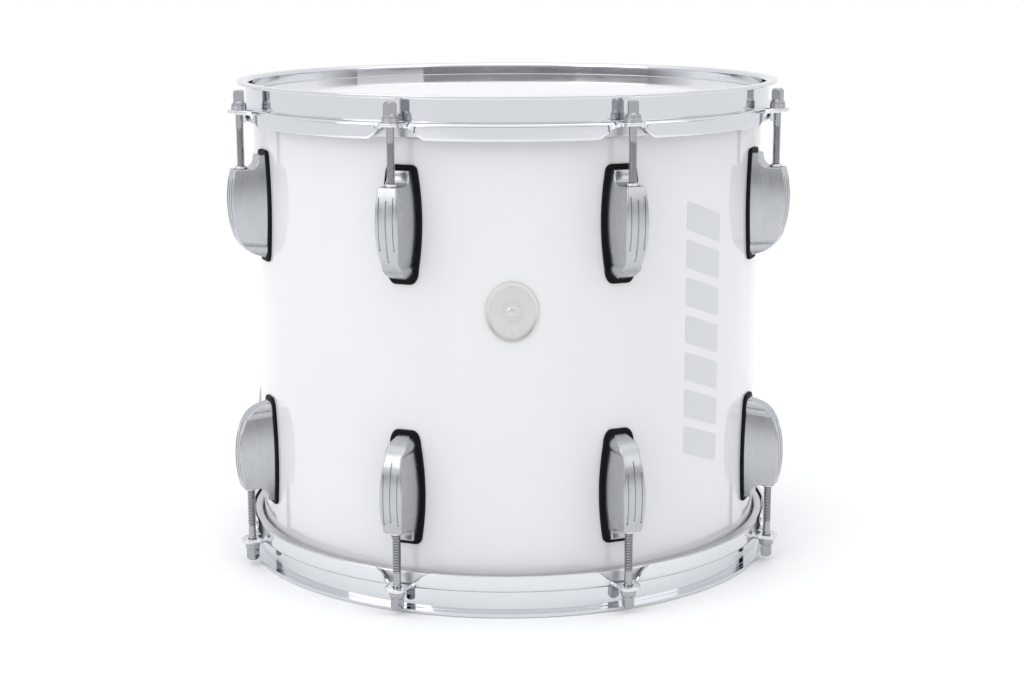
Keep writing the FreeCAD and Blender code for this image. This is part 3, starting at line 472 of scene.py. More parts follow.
def washer_steel():
    finish = Finish("washer_steel", (0.48, 0.485, 0.5), metallic=1.0)
    grain = finish.group(GRAIN, Scale=1800.0, Unevenness=0.4)
    finish.feed("Roughness", finish.range(grain["Patches"], 0.0, 1.0, 0.12, 0.26))
    finish.bump(grain["Height"], 0.004 * MM)
    return finish.material


def nut_metal():
    finish = Finish("nut_metal", (0.68, 0.68, 0.69), metallic=1.0)
    finish.feed("Roughness", finish.group(HANDLING, Cleanest=0.08, Dullest=0.2)["Roughness"])
    finish.bump(finish.group(GRAIN, Scale=2200.0)["Height"], 0.003 * MM)
    return finish.material


def gasket_rubber():
    """Moulded black rubber with a matt grain."""
    finish = Finish("gasket_rubber", (0.004, 0.004, 0.005), roughness=0.55, Specular_IOR_Level=0.12)
    grain = finish.group(GRAIN, Scale=2600.0, Unevenness=0.6)
    finish.blend(grain["Patches"], (0.003, 0.003, 0.004), (0.006, 0.006, 0.007))
    finish.feed("Roughness", finish.range(grain["Patches"], 0.0, 1.0, 0.48, 0.68))
    finish.bump(grain["Height"], 0.03 * MM)
    return finish.material


def shell_covering():
    """White gloss covering, with the slight orange peel of laminated sheet over wood."""
    finish = Finish("shell_covering", (0.71, 0.71, 0.72), Coat_Weight=0.6, Coat_Roughness=0.03)
    place = stretched_place(finish.tree, (1, 1, 1))
    peel = noise(finish.tree, place, 420.0, 1.0)
    waves = noise(finish.tree, stretched_place(finish.tree, (1, 1, 0.2)), 22.0, 1.0)
    finish.blend(finish.range(waves, 0.35, 0.65, 0.0, 1.0), (0.705, 0.705, 0.715), (0.72, 0.72, 0.73))
    finish.feed("Roughness", finish.group(HANDLING, Cleanest=0.06, Dullest=0.13)["Roughness"])
    height = math_node(finish.tree, "MULTIPLY_ADD", waves, 6.0, peel)
    finish.bump(height, 0.006 * MM)
    return finish.material


def drum_head():
    """Smooth white film, with the faintest pebble in it."""
    finish = Finish("drum_head", (0.80, 0.80, 0.805), Coat_Weight=0.5, Coat_Roughness=0.02)
    grain = finish.group(GRAIN, Scale=700.0, Unevenness=1.5)
    finish.blend(grain["Patches"], (0.795, 0.795, 0.80), (0.81, 0.81, 0.815))
    finish.feed("Roughness", finish.group(HANDLING, Cleanest=0.05, Dullest=0.11)["Roughness"])
    finish.bump(grain["Height"], 0.001 * MM)
    return finish.material


def flesh_hoop_metal():
    finish = Finish("flesh_hoop_metal", (0.62, 0.625, 0.635), metallic=1.0)
    grain = finish.group(GRAIN, Scale=1200.0, Unevenness=0.6)
    finish.feed("Roughness", finish.range(grain["Patches"], 0.0, 1.0, 0.3, 0.42))
    finish.bump(grain["Height"], 0.01 * MM)
    return finish.material


def badge_metal():
    """Stamped and plated badge: fine stipple in its field."""
    finish = Finish("badge_metal", (0.62, 0.61, 0.60), metallic=1.0)
    grain = finish.group(GRAIN, Scale=1400.0, Unevenness=0.6)
    finish.blend(grain["Patches"], (0.62, 0.605, 0.60), (0.66, 0.645, 0.64))
    finish.feed("Roughness", finish.range(grain["Patches"], 0.0, 1.0, 0.28, 0.34))
    finish.bump(grain["Height"], 0.008 * MM)
    return finish.material


def decal_film():
    """Silver vinyl with a fine flake."""
    finish = Finish("decal_film", (0.60, 0.615, 0.64))
    flake = finish.group(GRAIN, Scale=6000.0, Unevenness=0.1)
    shine = finish.range(flake["Height"], 0.3, 0.8, 0.0, 1.0)
    finish.blend(shine, (0.595, 0.61, 0.635), (0.605, 0.62, 0.645))
    finish.feed("Roughness", finish.range(flake["Height"], 0.3, 0.8, 0.24, 0.28))
    return finish.material


def grommet_metal():
    finish = Finish("grommet_metal", (0.66, 0.665, 0.67), metallic=1.0)
    finish.feed("Roughness", finish.group(HANDLING, Cleanest=0.1, Dullest=0.24)["Roughness"])
    finish.bump(finish.group(GRAIN, Scale=2000.0)["Height"], 0.004 * MM)
    return finish.material


def plain_steel(name, color):
    finish = Finish(name, color, metallic=1.0)
    grain = finish.group(GRAIN, Scale=1800.0, Unevenness=0.5)
    finish.feed("Roughness", finish.range(grain["Patches"], 0.0, 1.0, 0.25, 0.4))
    finish.bump(grain["Height"], 0.008 * MM)
    return finish.material


def maple_ply():
    """Sealed maple: thin plies seen on their edges, grain running round the shell."""
    finish = Finish("maple_ply", (0.62, 0.44, 0.26), roughness=0.42)
    fibres = noise(finish.tree, stretched_place(finish.tree, (0.25, 0.25, 6.0)), 90.0, 5.0, 0.6)
    finish.blend(finish.range(fibres, 0.3, 0.7, 0.0, 1.0), (0.50, 0.33, 0.18), (0.70, 0.52, 0.33))
    finish.feed("Roughness", finish.range(fibres, 0.3, 0.7, 0.36, 0.5))
    finish.bump(fibres, 0.05 * MM)
    return finish.material


# ---- The hoop: one sheet of steel, rolled and pressed ----

LIP_OUT = RIM
COLLAR_MIDDLE = SHELL + 3.85 * MM
SKIRT_MIDDLE = SHELL + 9.05 * MM
EAR_TIP = ROD_AXIS + 7.2 * MM
BEND = 1.5 * MM
EAR_HALF = 6.5 * MM
EAR_CORNER = 4.0 * MM
EAR_HOLE = 3.2 * MM


def ear_reach(across):
    """Flat outline of an ear past the outer bend: straight in front, with rounded corners."""
    full = EAR_TIP - (SKIRT_MIDDLE - BEND)
    past = min(max(across - (EAR_HALF - EAR_CORNER), 0), EAR_CORNER)
    return full - EAR_CORNER + math.sqrt(EAR_CORNER**2 - past**2)


def hoop_section(across):
    """The middle line of the sheet from the lip to its free edge, as (radius, depth) points, at a
    distance from the middle of the nearest ear. The ear lies flat. Beside it the sheet folds down
    into the skirt, and the skirt's edge sweeps down to its full depth."""
    step = EAR_DEPTH + SHEET / 2
    top = rounded((
        (LIP_OUT, SHEET / 2), (COLLAR_MIDDLE, SHEET / 2, BEND), (COLLAR_MIDDLE, step, BEND),
        (SKIRT_MIDDLE - BEND, step),
    ), steps=6, closed=False)
    start = Vector((SKIRT_MIDDLE - BEND, step))
    angle = math.pi / 2 * ease(across, 5.5 * MM, 15 * MM)
    drop = (HOOP_DEPTH - step) * ease(across, 4 * MM, 21 * MM)
    length = ear_reach(0)
    if angle > 0.01:
        length = (drop - BEND * (1 - math.cos(angle))) / math.sin(angle)
    if across < EAR_HALF:
        length = min(length, ear_reach(across))
    bend = []
    for part in range(1, 7):
        turned_by = angle * part / 6
        bend.append(start + BEND * Vector((math.sin(turned_by), 1 - math.cos(turned_by))))
    way = Vector((math.cos(angle), math.sin(angle)))
    leg = [bend[-1] + way * length * part / 4 for part in range(1, 5)]
    return [top[0], top[0].lerp(top[1], 0.5)] + top[1:] + bend + leg


def hoop_offsets():
    """Distances along the hoop, from the middle of one ear to the next, where it gets a section."""
    near = [0.9 * MM * step for step in range(6)]
    corner = [4.5 * MM + 0.25 * MM * step for step in range(1, 19)]
    sweep = [9.0 * MM + 0.8 * MM * step for step in range(1, 17)]
    side = near + corner + sweep
    span = STEP * ROD_AXIS
    between = evenly(side[-1], span - side[-1], 34)
    return side + between + [span - offset for offset in reversed(side[1:])]


def thickened(path):
    """The closed outline of the sheet along a middle line, with softened ends."""
    half = SHEET / 2
    soft = 0.45 * MM
    ways = [(after - before).normalized() for before, after in zip(path, path[1:])]
    ways = [ways[0]] + [(one + two).normalized() for one, two in zip(ways, ways[1:])] + [ways[-1]]
    sides = [Vector((-way.y, way.x)) for way in ways]

    def end(place, out, side):
        points = []
        for sign, turns in ((1, (0, 30, 60, 90)), (-1, (90, 60, 30, 0))):
            centre = place - out * soft + side * sign * (half - soft)
            for turn in turns:
                angle = math.radians(turn)
                points.append(centre + soft * (side * sign * math.cos(angle) + out * math.sin(angle)))
        return points

    inner = list(zip(path, sides))[1:-1]
    over = [place + side * half for place, side in inner]
    under = [place - side * half for place, side in inner]
    last = end(path[-1], ways[-1], sides[-1])
    first = end(path[0], -ways[0], sides[0])
    return over + last + under[::-1] + first[::-1]


def make_hoop():
    """The formed sheet: its sections follow each other round the drum."""
    span = STEP * ROD_AXIS
    offsets = hoop_offsets()
    corners = []
    for rod in range(RODS):
        for offset in offsets:
            angle = rod * STEP + offset / ROD_AXIS
            for radius, depth in thickened(hoop_section(min(offset, span - offset))):
                corners.append((radius * math.cos(angle), radius * math.sin(angle), depth))
    columns = RODS * len(offsets)
    rows = len(corners) // columns
    faces = []
    for column in range(columns):
        here = column * rows
        there = (column + 1) % columns * rows
        for row in range(rows):
            after = (row + 1) % rows
            faces.append((here + row, here + after, there + after, there + row))
    mesh = bpy.data.meshes.new("hoop_sheet")
    mesh.from_pydata(corners, [], faces)
    piece = bpy.data.objects.new("hoop_sheet", mesh)
    bpy.context.scene.collection.objects.link(piece)
    only(piece)
    edit()
    bpy.ops.mesh.select_all(action="SELECT")
    bpy.ops.mesh.normals_make_consistent(inside=False)
    leave()
    past = 2 * MM
    above = EAR_DEPTH - past
    below = EAR_DEPTH + SHEET + past
    holes = turned("rod_holes", ((0, above), (EAR_HOLE, above), (EAR_HOLE, below), (0, below)),
                   32, centre=ROD_AXIS, closed=False)
    round_the_drum(holes)
    modify(piece, "BOOLEAN", operation="DIFFERENCE", object=holes, solver="MANIFOLD")
    discard(holes)
    return smooth(piece, 40)


# ---- What the hoop holds: head film, flesh hoop, rods and washers ----

def make_head():
    """Playing film, rounded over the bearing edge, with its collar and hem."""
    film = 0.3 * MM
    collar = SHELL + 0.55 * MM
    hem = SHELL + 3.95 * MM
    hem_depth = EAR_DEPTH + SHEET + 0.35 * MM
    middle = rounded((
        (0, HEAD_DEPTH + film / 2), (collar, HEAD_DEPTH + film / 2, 2.2 * MM), (collar, hem_depth, 0.4 * MM),
        (hem, hem_depth, 0.4 * MM), (hem, HOOP_DEPTH - 3 * MM),
    ), steps=6, closed=False)
    flat = collar - 3 * MM
    rings = [Vector((share * flat, HEAD_DEPTH + film / 2)) for share in (0.25, 0.5, 0.75, 0.9, 0.97)]
    piece = turned("head", [middle[0]] + rings + middle[1:], 192, closed=False)
    modify(piece, "SOLIDIFY", thickness=film, offset=0.0)
    return smooth(piece)


def make_flesh_hoop():
    """Pressed channel that grips the film's hem, open towards the rim."""
    gap = 1.2 * MM
    channel = 5.6 * MM
    wall = 1.0 * MM
    inner = SHELL + gap
    outer = inner + channel
    top = EAR_DEPTH + SHEET + 0.1 * MM
    floor = EAR_DEPTH + SHEET + 7.9 * MM
    hem = top + 0.7 * MM
    return turned("flesh_hoop", rounded((
        (inner, hem, 0.3 * MM), (inner + wall, hem, 0.3 * MM), (inner + wall, floor - wall, 0.5 * MM),
        (outer - wall, floor - wall, 0.5 * MM), (outer - wall, top, 0.3 * MM), (outer, top, 0.3 * MM),
        (outer, floor, 1.4 * MM), (inner, floor, 1.4 * MM),
    )), 192)


# The rod and its washers: thicknesses and depths along it, and radii.
WASHER = 1.4 * MM
FLANGE_THICKNESS = 1.5 * MM
FLANGE_TOP = EAR_DEPTH - 2 * WASHER - FLANGE_THICKNESS
HEAD_HEIGHT = 8.7 * MM
HEAD_TOP = FLANGE_TOP - HEAD_HEIGHT
HEAD_HALF = 3.2 * MM
FOOT_HEIGHT = 2.3 * MM
FLANGE = 4.9 * MM
SHANK = 2.5 * MM
THREAD = 2.75 * MM
THREAD_ROOT = 2.0 * MM
THREAD_START = 28.0 * MM
ROD_TIP = 70.4 * MM
PITCH = 25.4 / 24 * MM


def make_square_head():
    """Square prism that reaches into the flange, turned off at its top corners."""
    bpy.ops.object.select_all(action="DESELECT")
    sunk = 0.8 * MM
    middle = (HEAD_TOP + FLANGE_TOP) / 2
    bpy.ops.mesh.primitive_cube_add(size=1, location=(ROD_AXIS, 0, middle + sunk / 2))
    square = bpy.context.object
    square.scale = (2 * HEAD_HALF, 2 * HEAD_HALF, HEAD_HEIGHT + sunk)
    bpy.ops.object.transform_apply(location=True, rotation=True, scale=True)
    modify(square, "BEVEL", width=0.45 * MM, segments=3)
    corner = HEAD_HALF * math.sqrt(2)
    turning = turned("turning", rounded((
        (0, HEAD_TOP), (HEAD_HALF - 0.7 * MM, HEAD_TOP, 0.5 * MM),
        (corner, HEAD_TOP + 1.9 * MM, 0.8 * MM), (corner, FLANGE_TOP + MM), (0, FLANGE_TOP + MM),
    ), closed=False), 48, centre=ROD_AXIS, closed=False)
    modify(square, "BOOLEAN", operation="INTERSECT", object=turning, solver="EXACT")
    discard(turning)
    square.name = "square_head"
    return smooth(square, 28)


def make_rod():
    """Square head, flange with a domed foot, plain shank and a rolled thread on one axis."""
    foot_top = FLANGE_TOP - FOOT_HEIGHT
    flange_end = FLANGE_TOP + FLANGE_THICKNESS
    foot = turned("rod_foot", rounded((
        (0, foot_top), (2.5 * MM, foot_top, 0.5 * MM), (4.2 * MM, FLANGE_TOP, 0.6 * MM),
        (FLANGE, FLANGE_TOP, 0.35 * MM), (FLANGE, flange_end, 0.3 * MM),
        (SHANK, flange_end), (SHANK, THREAD_START, 0.3 * MM), (THREAD_ROOT, THREAD_START + 0.5 * MM),
        (THREAD_ROOT, ROD_TIP - 0.6 * MM, 0.2 * MM), (0, ROD_TIP),
    ), closed=False), 32, centre=ROD_AXIS, closed=False)
    ridge = (
        (THREAD_ROOT, 0.0), (THREAD_ROOT, 0.14), (THREAD, 0.44),
        (THREAD, 0.58), (THREAD_ROOT, 0.88), (THREAD_ROOT, 1.0),
    )
    first = THREAD_START - 0.1 * MM
    outline = [(ROD_AXIS + radius, 0, first + share * PITCH) for radius, share in ridge]
    tooth = trace("rod_thread", outline, closed=False)
    leave()
    turns = int((ROD_TIP - THREAD_START - 0.8 * MM) / PITCH)
    pin = bpy.data.objects.new("thread_axis", None)
    bpy.context.scene.collection.objects.link(pin)
    pin.location = (ROD_AXIS, 0, 0)
    bpy.context.view_layer.update()
    modify(tooth, "SCREW", object=pin, steps=20, render_steps=20, angle=2 * math.pi, screw_offset=PITCH,
           iterations=turns, use_merge_vertices=True, merge_threshold=0.001 * MM)
    bpy.data.objects.remove(pin)
    only(tooth)
    edit()
    bpy.ops.mesh.select_all(action="SELECT")
    bpy.ops.mesh.remove_doubles(threshold=0.001 * MM)
    bpy.ops.mesh.fill_holes(sides=0)
    bpy.ops.mesh.select_all(action="SELECT")
    bpy.ops.mesh.normals_make_consistent(inside=False)
    leave()
    smooth(tooth, 20)
    # Depth of each corner in the groove, 0 on the crests to 1 at the root: the mask for the painted shade and the
    # rougher finish in the grooves.
    groove = tooth.data.attributes.new("groove", "FLOAT", "POINT")
    for corner, value in zip(tooth.data.vertices, groove.data):
        radius = math.hypot(corner.co.x - ROD_AXIS, corner.co.y)
        value.value = (THREAD - radius) / (THREAD - THREAD_ROOT)
    parts = [make_square_head(), foot, tooth]
    for part in parts:
        part.data.materials.append(FINISHES["rod_bright"])
        part.data.materials.append(FINISHES["rod_thread"])
    for face in tooth.data.polygons:
        face.material_index = 1
    return join("rod", parts)


def make_washers(top):
    """Flat washers with softened edges, one on each rod."""
    bore = 3.0 * MM
    reach = 5.2 * MM
    soft = 0.3 * MM
    ring = turned("washers", rounded((
        (bore, top, soft), (reach, top, soft), (reach, top + WASHER, soft), (bore, top + WASHER, soft),
    ), steps=3), 40, centre=ROD_AXIS)
    return round_the_drum(ring)


# ---- Lug details ----

GASKET = 2.0 * MM
GASKET_MARGIN = 2.8 * MM
NOSE_LENGTH = 9.5 * MM
NOSE_HALF = 3.6 * MM
FOOT_HALF = 7.2 * MM
FOOT_WIDENING = 0.6 * MM
FOOT_BULGE = 2.9 * MM
NUT_FACE_DROP = 9.3 * MM
NUT_NECK = 3.85 * MM
NUT_SHOULDER = 5.2 * MM


def foot_outline(margin):
    """Half widths of the gasket at its depths, from the nut end to the nose."""
    start = LUG_START + (GASKET_MARGIN - margin)
    end = LUG_END - (GASKET_MARGIN - margin)
    shoulder = end - NOSE_LENGTH
    sides = []
    for share in range(13):
        part = share / 12
        bulge = FOOT_BULGE * 4 * part * (1 - part)
        sides.append((FOOT_HALF + margin + FOOT_WIDENING * part + bulge, start + (shoulder - start) * part))
    nose_width = NOSE_HALF + margin / 2
    wide = sides[-1][0]
    nose = []
    for share in range(1, 9):
        angle = math.pi / 2 * share / 8
        across = nose_width + (wide - nose_width) * math.cos(angle)
        nose.append((across, shoulder + (end - shoulder) * math.sin(angle)))
    return sides + nose


def make_gaskets():
    """Rubber seats under the casings, curved to the shell, with a soft edge."""
    half = foot_outline(GASKET_MARGIN)
    corner = 4.2 * MM
    right = [(*half[0], corner)] + [(width, depth) for width, depth in half[1:]]
    left = [(-width, depth) for width, depth in reversed(half[1:])]
    left.append((-half[0][0], half[0][1], corner))
    seat = plate("gaskets", rounded(right + left, steps=5), GASKET, soften=0.75 * MM)
    pick(seat, lambda place, normal, area: normal.x > 0.99 and area > 100 * MM * MM)
    bpy.ops.mesh.inset(thickness=4.0 * MM)
    leave()
    onto_shell(seat)
    smooth(seat, 40)
    return round_the_drum(seat)


def make_nuts():
    """Swivel nuts: a domed neck round the thread, standing out of the casing."""
    face = LUG_START + GASKET_MARGIN + NUT_FACE_DROP
    top = face - 1.9 * MM
    seat = face + 3.0 * MM
    end = top + 17.0 * MM
    bore = THREAD + 0.05 * MM
    nut = turned("nuts", rounded((
        (bore, top + 0.35 * MM, 0.15 * MM), (bore + 0.3 * MM, top, 0.15 * MM),
        (NUT_NECK, top, 0.8 * MM), (NUT_NECK, seat), (NUT_SHOULDER, seat, 0.3 * MM),
        (NUT_SHOULDER, end, 0.4 * MM), (bore, end),
    )), 40, centre=ROD_AXIS)
    return round_the_drum(nut)


# ---- The shell's covering, badge, decal and vent ----

def make_covering():
    """Sheet laid round the wood, with the straight overlap where its two ends meet at the back."""
    low = HEAD_DEPTH + 1.9 * MM
    high = HEIGHT - low
    inner = SHELL - 0.5 * MM
    soft = 0.2 * MM
    sheet = turned("covering", rounded((
        (inner, low), (SHELL, low, soft), (SHELL, high, soft), (inner, high),
    ), steps=3), 256)
    lap = 9 * MM
    edge = 14 * MM
    beside_vent = 0.24
    outline = ((-lap, edge), (lap, edge), (lap, HEIGHT - edge), (-lap, HEIGHT - edge))
    overlap = plate("overlap", outline, 0.3 * MM, cuts=evenly(-lap, lap, 6))
    reshape(overlap, lambda place: Vector((
        SHELL - 0.1 * MM + (place.x - SHELL) * min(1.0, (lap + place.y) / lap + 0.1), place.y, place.z
    )))
    onto_shell(overlap)
    smooth(overlap, 25)
    move_mesh(overlap, Matrix.Rotation(BACK + beside_vent, 4, "Z"))
    return join("shell_covering", [sheet, overlap])


def oval_outline(half_width, half_height, middle, points=56):
    """Points of a tall oval."""
    places = []
    for index in range(points):
        angle = 2 * math.pi * index / points
        places.append((half_width * math.cos(angle), middle + half_height * math.sin(angle)))
    return places


BADGE_MIDDLE = HEIGHT - 134.0 * MM


def raised_bar(width, height, base, rise):
    """A small raised block on the badge's field."""
    bpy.ops.object.select_all(action="DESELECT")
    bpy.ops.mesh.primitive_cube_add(size=1, location=(base + rise / 2, 0, 0))
    bar = bpy.context.object
    bar.scale = (rise, width, height)
    bpy.ops.object.transform_apply(location=True, rotation=True, scale=True)
    modify(bar, "BEVEL", width=0.3 * rise, segments=2)
    return bar


def make_badge():
    """Stamped oval: raised border, sunk field, a plain boss with rays, and no marks."""
    outline = oval_outline(17 * MM, 19.25 * MM, BADGE_MIDDLE)
    badge = plate("badge", outline, 1.0 * MM, soften=0.22 * MM)
    pick(badge, lambda place, normal, area: normal.x > 0.99 and area > 300 * MM * MM)
    bpy.ops.mesh.inset(thickness=1.3 * MM)
    bpy.ops.mesh.inset(thickness=0.15 * MM, depth=-0.4 * MM)
    bpy.ops.mesh.inset(thickness=1.1 * MM)
    bpy.ops.mesh.inset(thickness=0.12 * MM, depth=0.16 * MM)
    bpy.ops.mesh.inset(thickness=0.35 * MM)
    bpy.ops.mesh.inset(thickness=0.12 * MM, depth=-0.16 * MM)
    leave()
    field = SHELL + 0.6 * MM
    details = [badge]
    rays = 24
    reach = 6.4 * MM
    for ray in range(rays):
        angle = 2 * math.pi * (ray + 0.5) / rays
        bar = raised_bar(3.0 * MM, 0.7 * MM, field - 0.05 * MM, 0.28 * MM)
        middle = (0, reach * math.cos(angle), BADGE_MIDDLE + 1.05 * reach * math.sin(angle))
        move_mesh(bar, Matrix.Translation(middle) @ Matrix.Rotation(angle, 4, "X"))
        details.append(bar)
    dome = ((0, 0.55 * MM), (2.6 * MM, 0.4 * MM, 0.6 * MM), (3.2 * MM, -0.1 * MM), (0, -0.1 * MM))
    boss = turned("boss", rounded(dome, closed=False), 40, closed=False)
    move_mesh(boss, Matrix.Translation((field, 0, BADGE_MIDDLE)) @ Matrix.Rotation(math.pi / 2, 4, "Y"))
    details.append(boss)
    badge = join("badge", details)
    onto_shell(badge)
    smooth(badge, 30)
    return move_mesh(badge, Matrix.Rotation(FRONT, 4, "Z"))


def make_badge_pins():
    """Two round-headed pins through the badge."""
    pins = []
    for sign in (1, -1):
        pin = turned("pin", rounded((
            (0, 0.5 * MM), (0.9 * MM, 0.45 * MM, 0.5 * MM), (1.4 * MM, 0, 0.1 * MM), (0.8 * MM, 0),
            (0.8 * MM, -4.5 * MM), (0, -4.5 * MM),
        ), closed=False), 24, closed=False)
        move_mesh(pin, Matrix.Translation((SHELL + 0.65 * MM, 0, BADGE_MIDDLE + sign * 15 * MM))
                  @ Matrix.Rotation(math.pi / 2, 4, "Y"))
        pins.append(pin)
    return move_mesh(join("badge_pins_domed", pins), Matrix.Rotation(FRONT, 4, "Z"))


def make_decal():
    """Plain slanted bars with rounded corners, cut from one film."""
    low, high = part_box("side_stripe")
    middle = (low.z + high.z) / 2
    bars = 7
    width = 34.0 * MM
    slant = 12.0 * MM
    pitch = (high.z - low.z - slant) / (bars - 0.252)
    bar_height = 0.748 * pitch
    soft = 1.6 * MM
    pieces = []
    for index in range(bars):
        centre = middle + (index - (bars - 1) / 2) * pitch
        corners = []
        for side, up in ((-1, -1), (1, -1), (1, 1), (-1, 1)):
            corners.append((side * width / 2, centre + up * bar_height / 2 - side * slant / 2, soft))
        bar = plate("bar", rounded(corners), 0.12 * MM, cuts=evenly(-width / 2, width / 2, 10))
        pieces.append(onto_shell(bar))
    decal = smooth(join("decal", pieces), 30)
    return move_mesh(decal, Matrix.Rotation(math.radians(-45), 4, "Z"))


def make_vent():
    """Rolled eyelet through the shell, at the back."""
    bore = 4.0 * MM
    wall = 0.8 * MM
    inside = -6.1 * MM
    outer = bore + wall
    rolled = outer + 1.4 * MM
    eyelet = turned("vent", rounded((
        (bore, inside - wall, 0.3 * MM), (bore, wall, 0.7 * MM), (7.5 * MM, 0.3 * MM, 0.25 * MM),
        (7.4 * MM, 0), (outer, 0), (outer, inside), (rolled, inside, 0.3 * MM),
        (rolled, inside - wall, 0.4 * MM),
    )), 48)
    return move_mesh(eyelet, Matrix.Rotation(BACK, 4, "Z") @ Matrix.Translation((SHELL, 0, HEIGHT / 2))
                     @ Matrix.Rotation(math.pi / 2, 4, "Y"))


# ---- Putting the object together ----

FINISHES = {
    "chrome": hoop_chrome(), "satin": lug_satin(), "rod_bright": rod_bright(), "rod_thread": rod_thread(),
    "washer": washer_steel(), "nut": nut_metal(), "rubber": gasket_rubber(), "covering": shell_covering(),
    "film": drum_head(), "flesh_hoop": flesh_hoop_metal(), "badge": badge_metal(), "decal": decal_film(),
    "grommet": grommet_metal(), "spring": plain_steel("spring_steel", (0.45, 0.45, 0.46)),
    "screw": plain_steel("screw_steel", (0.5, 0.5, 0.5)), "ply": maple_ply(),
}

RINGS = (
    ("hoop", make_hoop, "hoop_formed", "hoop_chrome", "chrome"),
    ("head_film", make_head, "head_moulded", "drum_head", "film"),
    ("flesh_hoop", make_flesh_hoop, "flesh_hoop_rolled", "flesh_hoop_metal", "flesh_hoop"),
    ("rod_upper_washers", lambda: make_washers(EAR_DEPTH - 2 * WASHER),
     "upper_washers", "washer_steel", "washer"),
    ("rod_lower_washers", lambda: make_washers(EAR_DEPTH - WASHER),
     "lower_washers", "washer_steel", "washer"),
    ("lug_gaskets", make_gaskets, "gaskets_moulded", "gasket_rubber", "rubber"),
    ("swivel_nuts", make_nuts, "swivel_nuts_domed", "nut_metal", "nut"),
)

# How far each rod's square head happens to be turned, in degrees, first rod to last.
HEAD_TURNS = {"batter": (12, 64, 31, 80, 25, 33, 22, 8), "resonant": (50, 18, 71, 5, 38, 74, 84, 27)}


def build_ends():
    """Each ring of pieces once at each end, and the sixteen rods."""
    for node, make, name, slot, finish in RINGS:
        master = make()
        for end in ENDS:
            piece = copy_to(master, f"{end}_{name}", to_end(end, STEP / 2))
            settle(piece, f"{end}_{node}", slot, FINISHES[finish])
        discard(master)
    rod = make_rod()
    for end in ENDS:
        for place in range(1, RODS + 1):
            turn = math.radians(HEAD_TURNS[end][place - 1])
            about = Matrix.Translation((ROD_AXIS, 0, 0))
            spun = about @ Matrix.Rotation(turn, 4, "Z") @ about.inverted()
            piece = copy_to(rod, f"{end}_rod_{place}_threaded", to_end(end, rod_angle(place)) @ spun)
            settle(piece, f"{end}_tension_rod_{place}", "rod_steel",
                   FINISHES["rod_bright"], FINISHES["rod_thread"])
    discard(rod)


def build_shell():
    for make, name, node, slot, finish in (
        (make_covering, "shell_covering", "shell_wrap", "shell_covering", "covering"),
        (make_badge, "badge_stamped", "badge_plate", "badge_metal", "badge"),
        (make_badge_pins, "badge_pins_domed", "badge_pins", "badge_metal", "badge"),
        (make_decal, "side_decal", "side_stripe", "decal_film", "decal"),
        (make_vent, "vent_eyelet", "vent_grommet", "grommet_metal", "grommet"),
    ):
        piece = make()
        piece.name = name
        settle(piece, node, slot, FINISHES[finish])


def finish_cad_nodes():
    """The CAD pieces whose shape is right keep it, and get their finish."""
    finishes = (
        ("lug_casing", "satin"), ("shell_ply", "ply"), ("nut_springs", "spring"),
        ("lug_screws", "screw"), ("screw_washers", "washer"),
    )
    for node, piece in frame["nodes"].items():
        for part, finish in finishes:
            if part in node:
                piece.data.materials.clear()
                piece.data.materials.append(FINISHES[finish])


# ---- Floor, light and camera ----

def floor_finish():
    finish = Finish("floor", (0.9, 0.9, 0.9), roughness=0.7, Specular_IOR_Level=0.2)
    speckle = noise(finish.tree, stretched_place(finish.tree, (1, 1, 1)), 90.0, 4.0)
    finish.blend(finish.range(speckle, 0.3, 0.7, 0.0, 1.0), (0.95, 0.95, 0.95), (0.97, 0.97, 0.97))
    finish.bump(speckle, 0.02 * MM)
    return finish.material


def make_floor():
    bpy.ops.object.select_all(action="DESELECT")
    bpy.ops.mesh.primitive_plane_add(size=5, location=(0, -0.6, -0.3 * MM))
    floor = bpy.context.object
    floor.name = "floor"
    floor.data.materials.append(floor_finish())


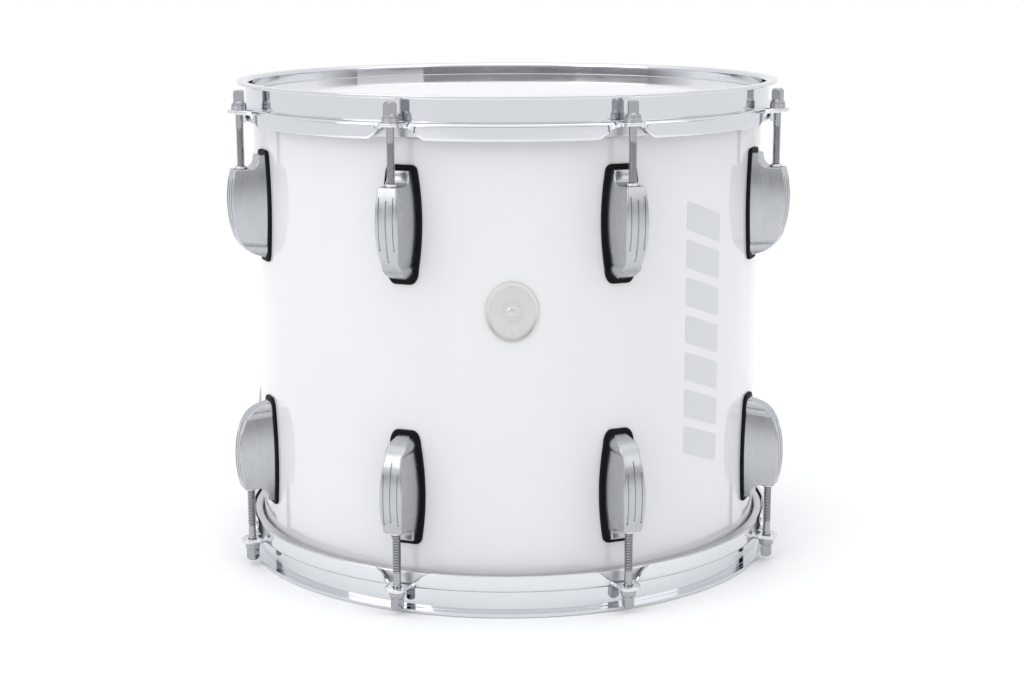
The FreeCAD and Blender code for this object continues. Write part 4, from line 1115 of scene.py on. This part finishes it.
def make_world():
    """A pale backdrop, and in front of the object a darker room that only its bends mirror. The
    camera itself sees plain white past the object."""
    world = bpy.data.worlds.new("studio")
    world.use_nodes = True
    bpy.context.scene.world = world
    tree = world.node_tree
    background = tree.nodes["Background"]
    place = tree.nodes.new("ShaderNodeTexCoord")
    split = tree.nodes.new("ShaderNodeSeparateXYZ")
    tree.links.new(place.outputs["Generated"], split.inputs["Vector"])
    ramp = tree.nodes.new("ShaderNodeValToRGB")
    tree.links.new(spread(tree, split.outputs["Z"], -0.2, 1.0, 0.0, 1.0), ramp.inputs["Fac"])
    stops = ((0.0, 0.92), (0.19, 0.92), (0.2, 0.05), (0.28, 0.05), (0.33, 0.92), (0.8, 1.1))
    while len(ramp.color_ramp.elements) < len(stops):
        ramp.color_ramp.elements.new(0.5)
    for element, (position, grey) in zip(ramp.color_ramp.elements, stops):
        element.position = position
        element.color = (grey, grey * 1.01, grey * 1.03, 1)
    room = tree.nodes.new("ShaderNodeMix")
    room.data_type = "RGBA"
    room.inputs["B"].default_value = (0.92, 0.93, 0.95, 1)
    tree.links.new(spread(tree, split.outputs["Y"], -0.3, 0.2, 0.0, 1.0), room.inputs["Factor"])
    tree.links.new(ramp.outputs["Color"], room.inputs["A"])
    ray = tree.nodes.new("ShaderNodeLightPath")
    mix = tree.nodes.new("ShaderNodeMix")
    mix.data_type = "RGBA"
    mix.inputs["B"].default_value = (1, 1, 1, 1)
    tree.links.new(ray.outputs["Is Camera Ray"], mix.inputs["Factor"])
    tree.links.new(room.outputs["Result"], mix.inputs["A"])
    tree.links.new(mix.outputs["Result"], background.inputs["Color"])
    background.inputs["Strength"].default_value = 1.0


def softbox(name, place, size, power):
    light = bpy.data.lights.new(name, "AREA")
    light.shape = "RECTANGLE"
    light.size, light.size_y = size
    light.energy = power
    lamp = bpy.data.objects.new(name, light)
    bpy.context.scene.collection.objects.link(lamp)
    lamp.location = place
    lamp.rotation_euler = (Vector((0, 0, HEIGHT / 2)) - Vector(place)).to_track_quat("-Z", "Y").to_euler()


def make_camera():
    camera = bpy.data.cameras.new("camera")
    camera.lens = 65.37
    camera.sensor_width = 36.0
    holder = bpy.data.objects.new("camera", camera)
    bpy.context.scene.collection.objects.link(holder)
    yaw = Matrix.Rotation(math.radians(-0.989), 4, "Z")
    pitch = Matrix.Rotation(math.radians(90 - 11.65), 4, "X")
    roll = Matrix.Rotation(-0.0024, 4, "Z")
    holder.matrix_world = Matrix.Translation((-0.0197, -1.3122, 0.4120)) @ yaw @ pitch @ roll
    bpy.context.scene.camera = holder


build_ends()
build_shell()
finish_cad_nodes()
make_floor()
make_world()
softbox("key", (-2.2, -1.6, 1.6), (2.2, 2.2), 20)
softbox("fill", (2.3, -1.4, 1.4), (2.0, 2.0), 7)
softbox("overhead", (0, 0.1, 2.6), (3.2, 3.2), 16)
make_camera()
bpy.context.scene.view_settings.view_transform = "Standard"
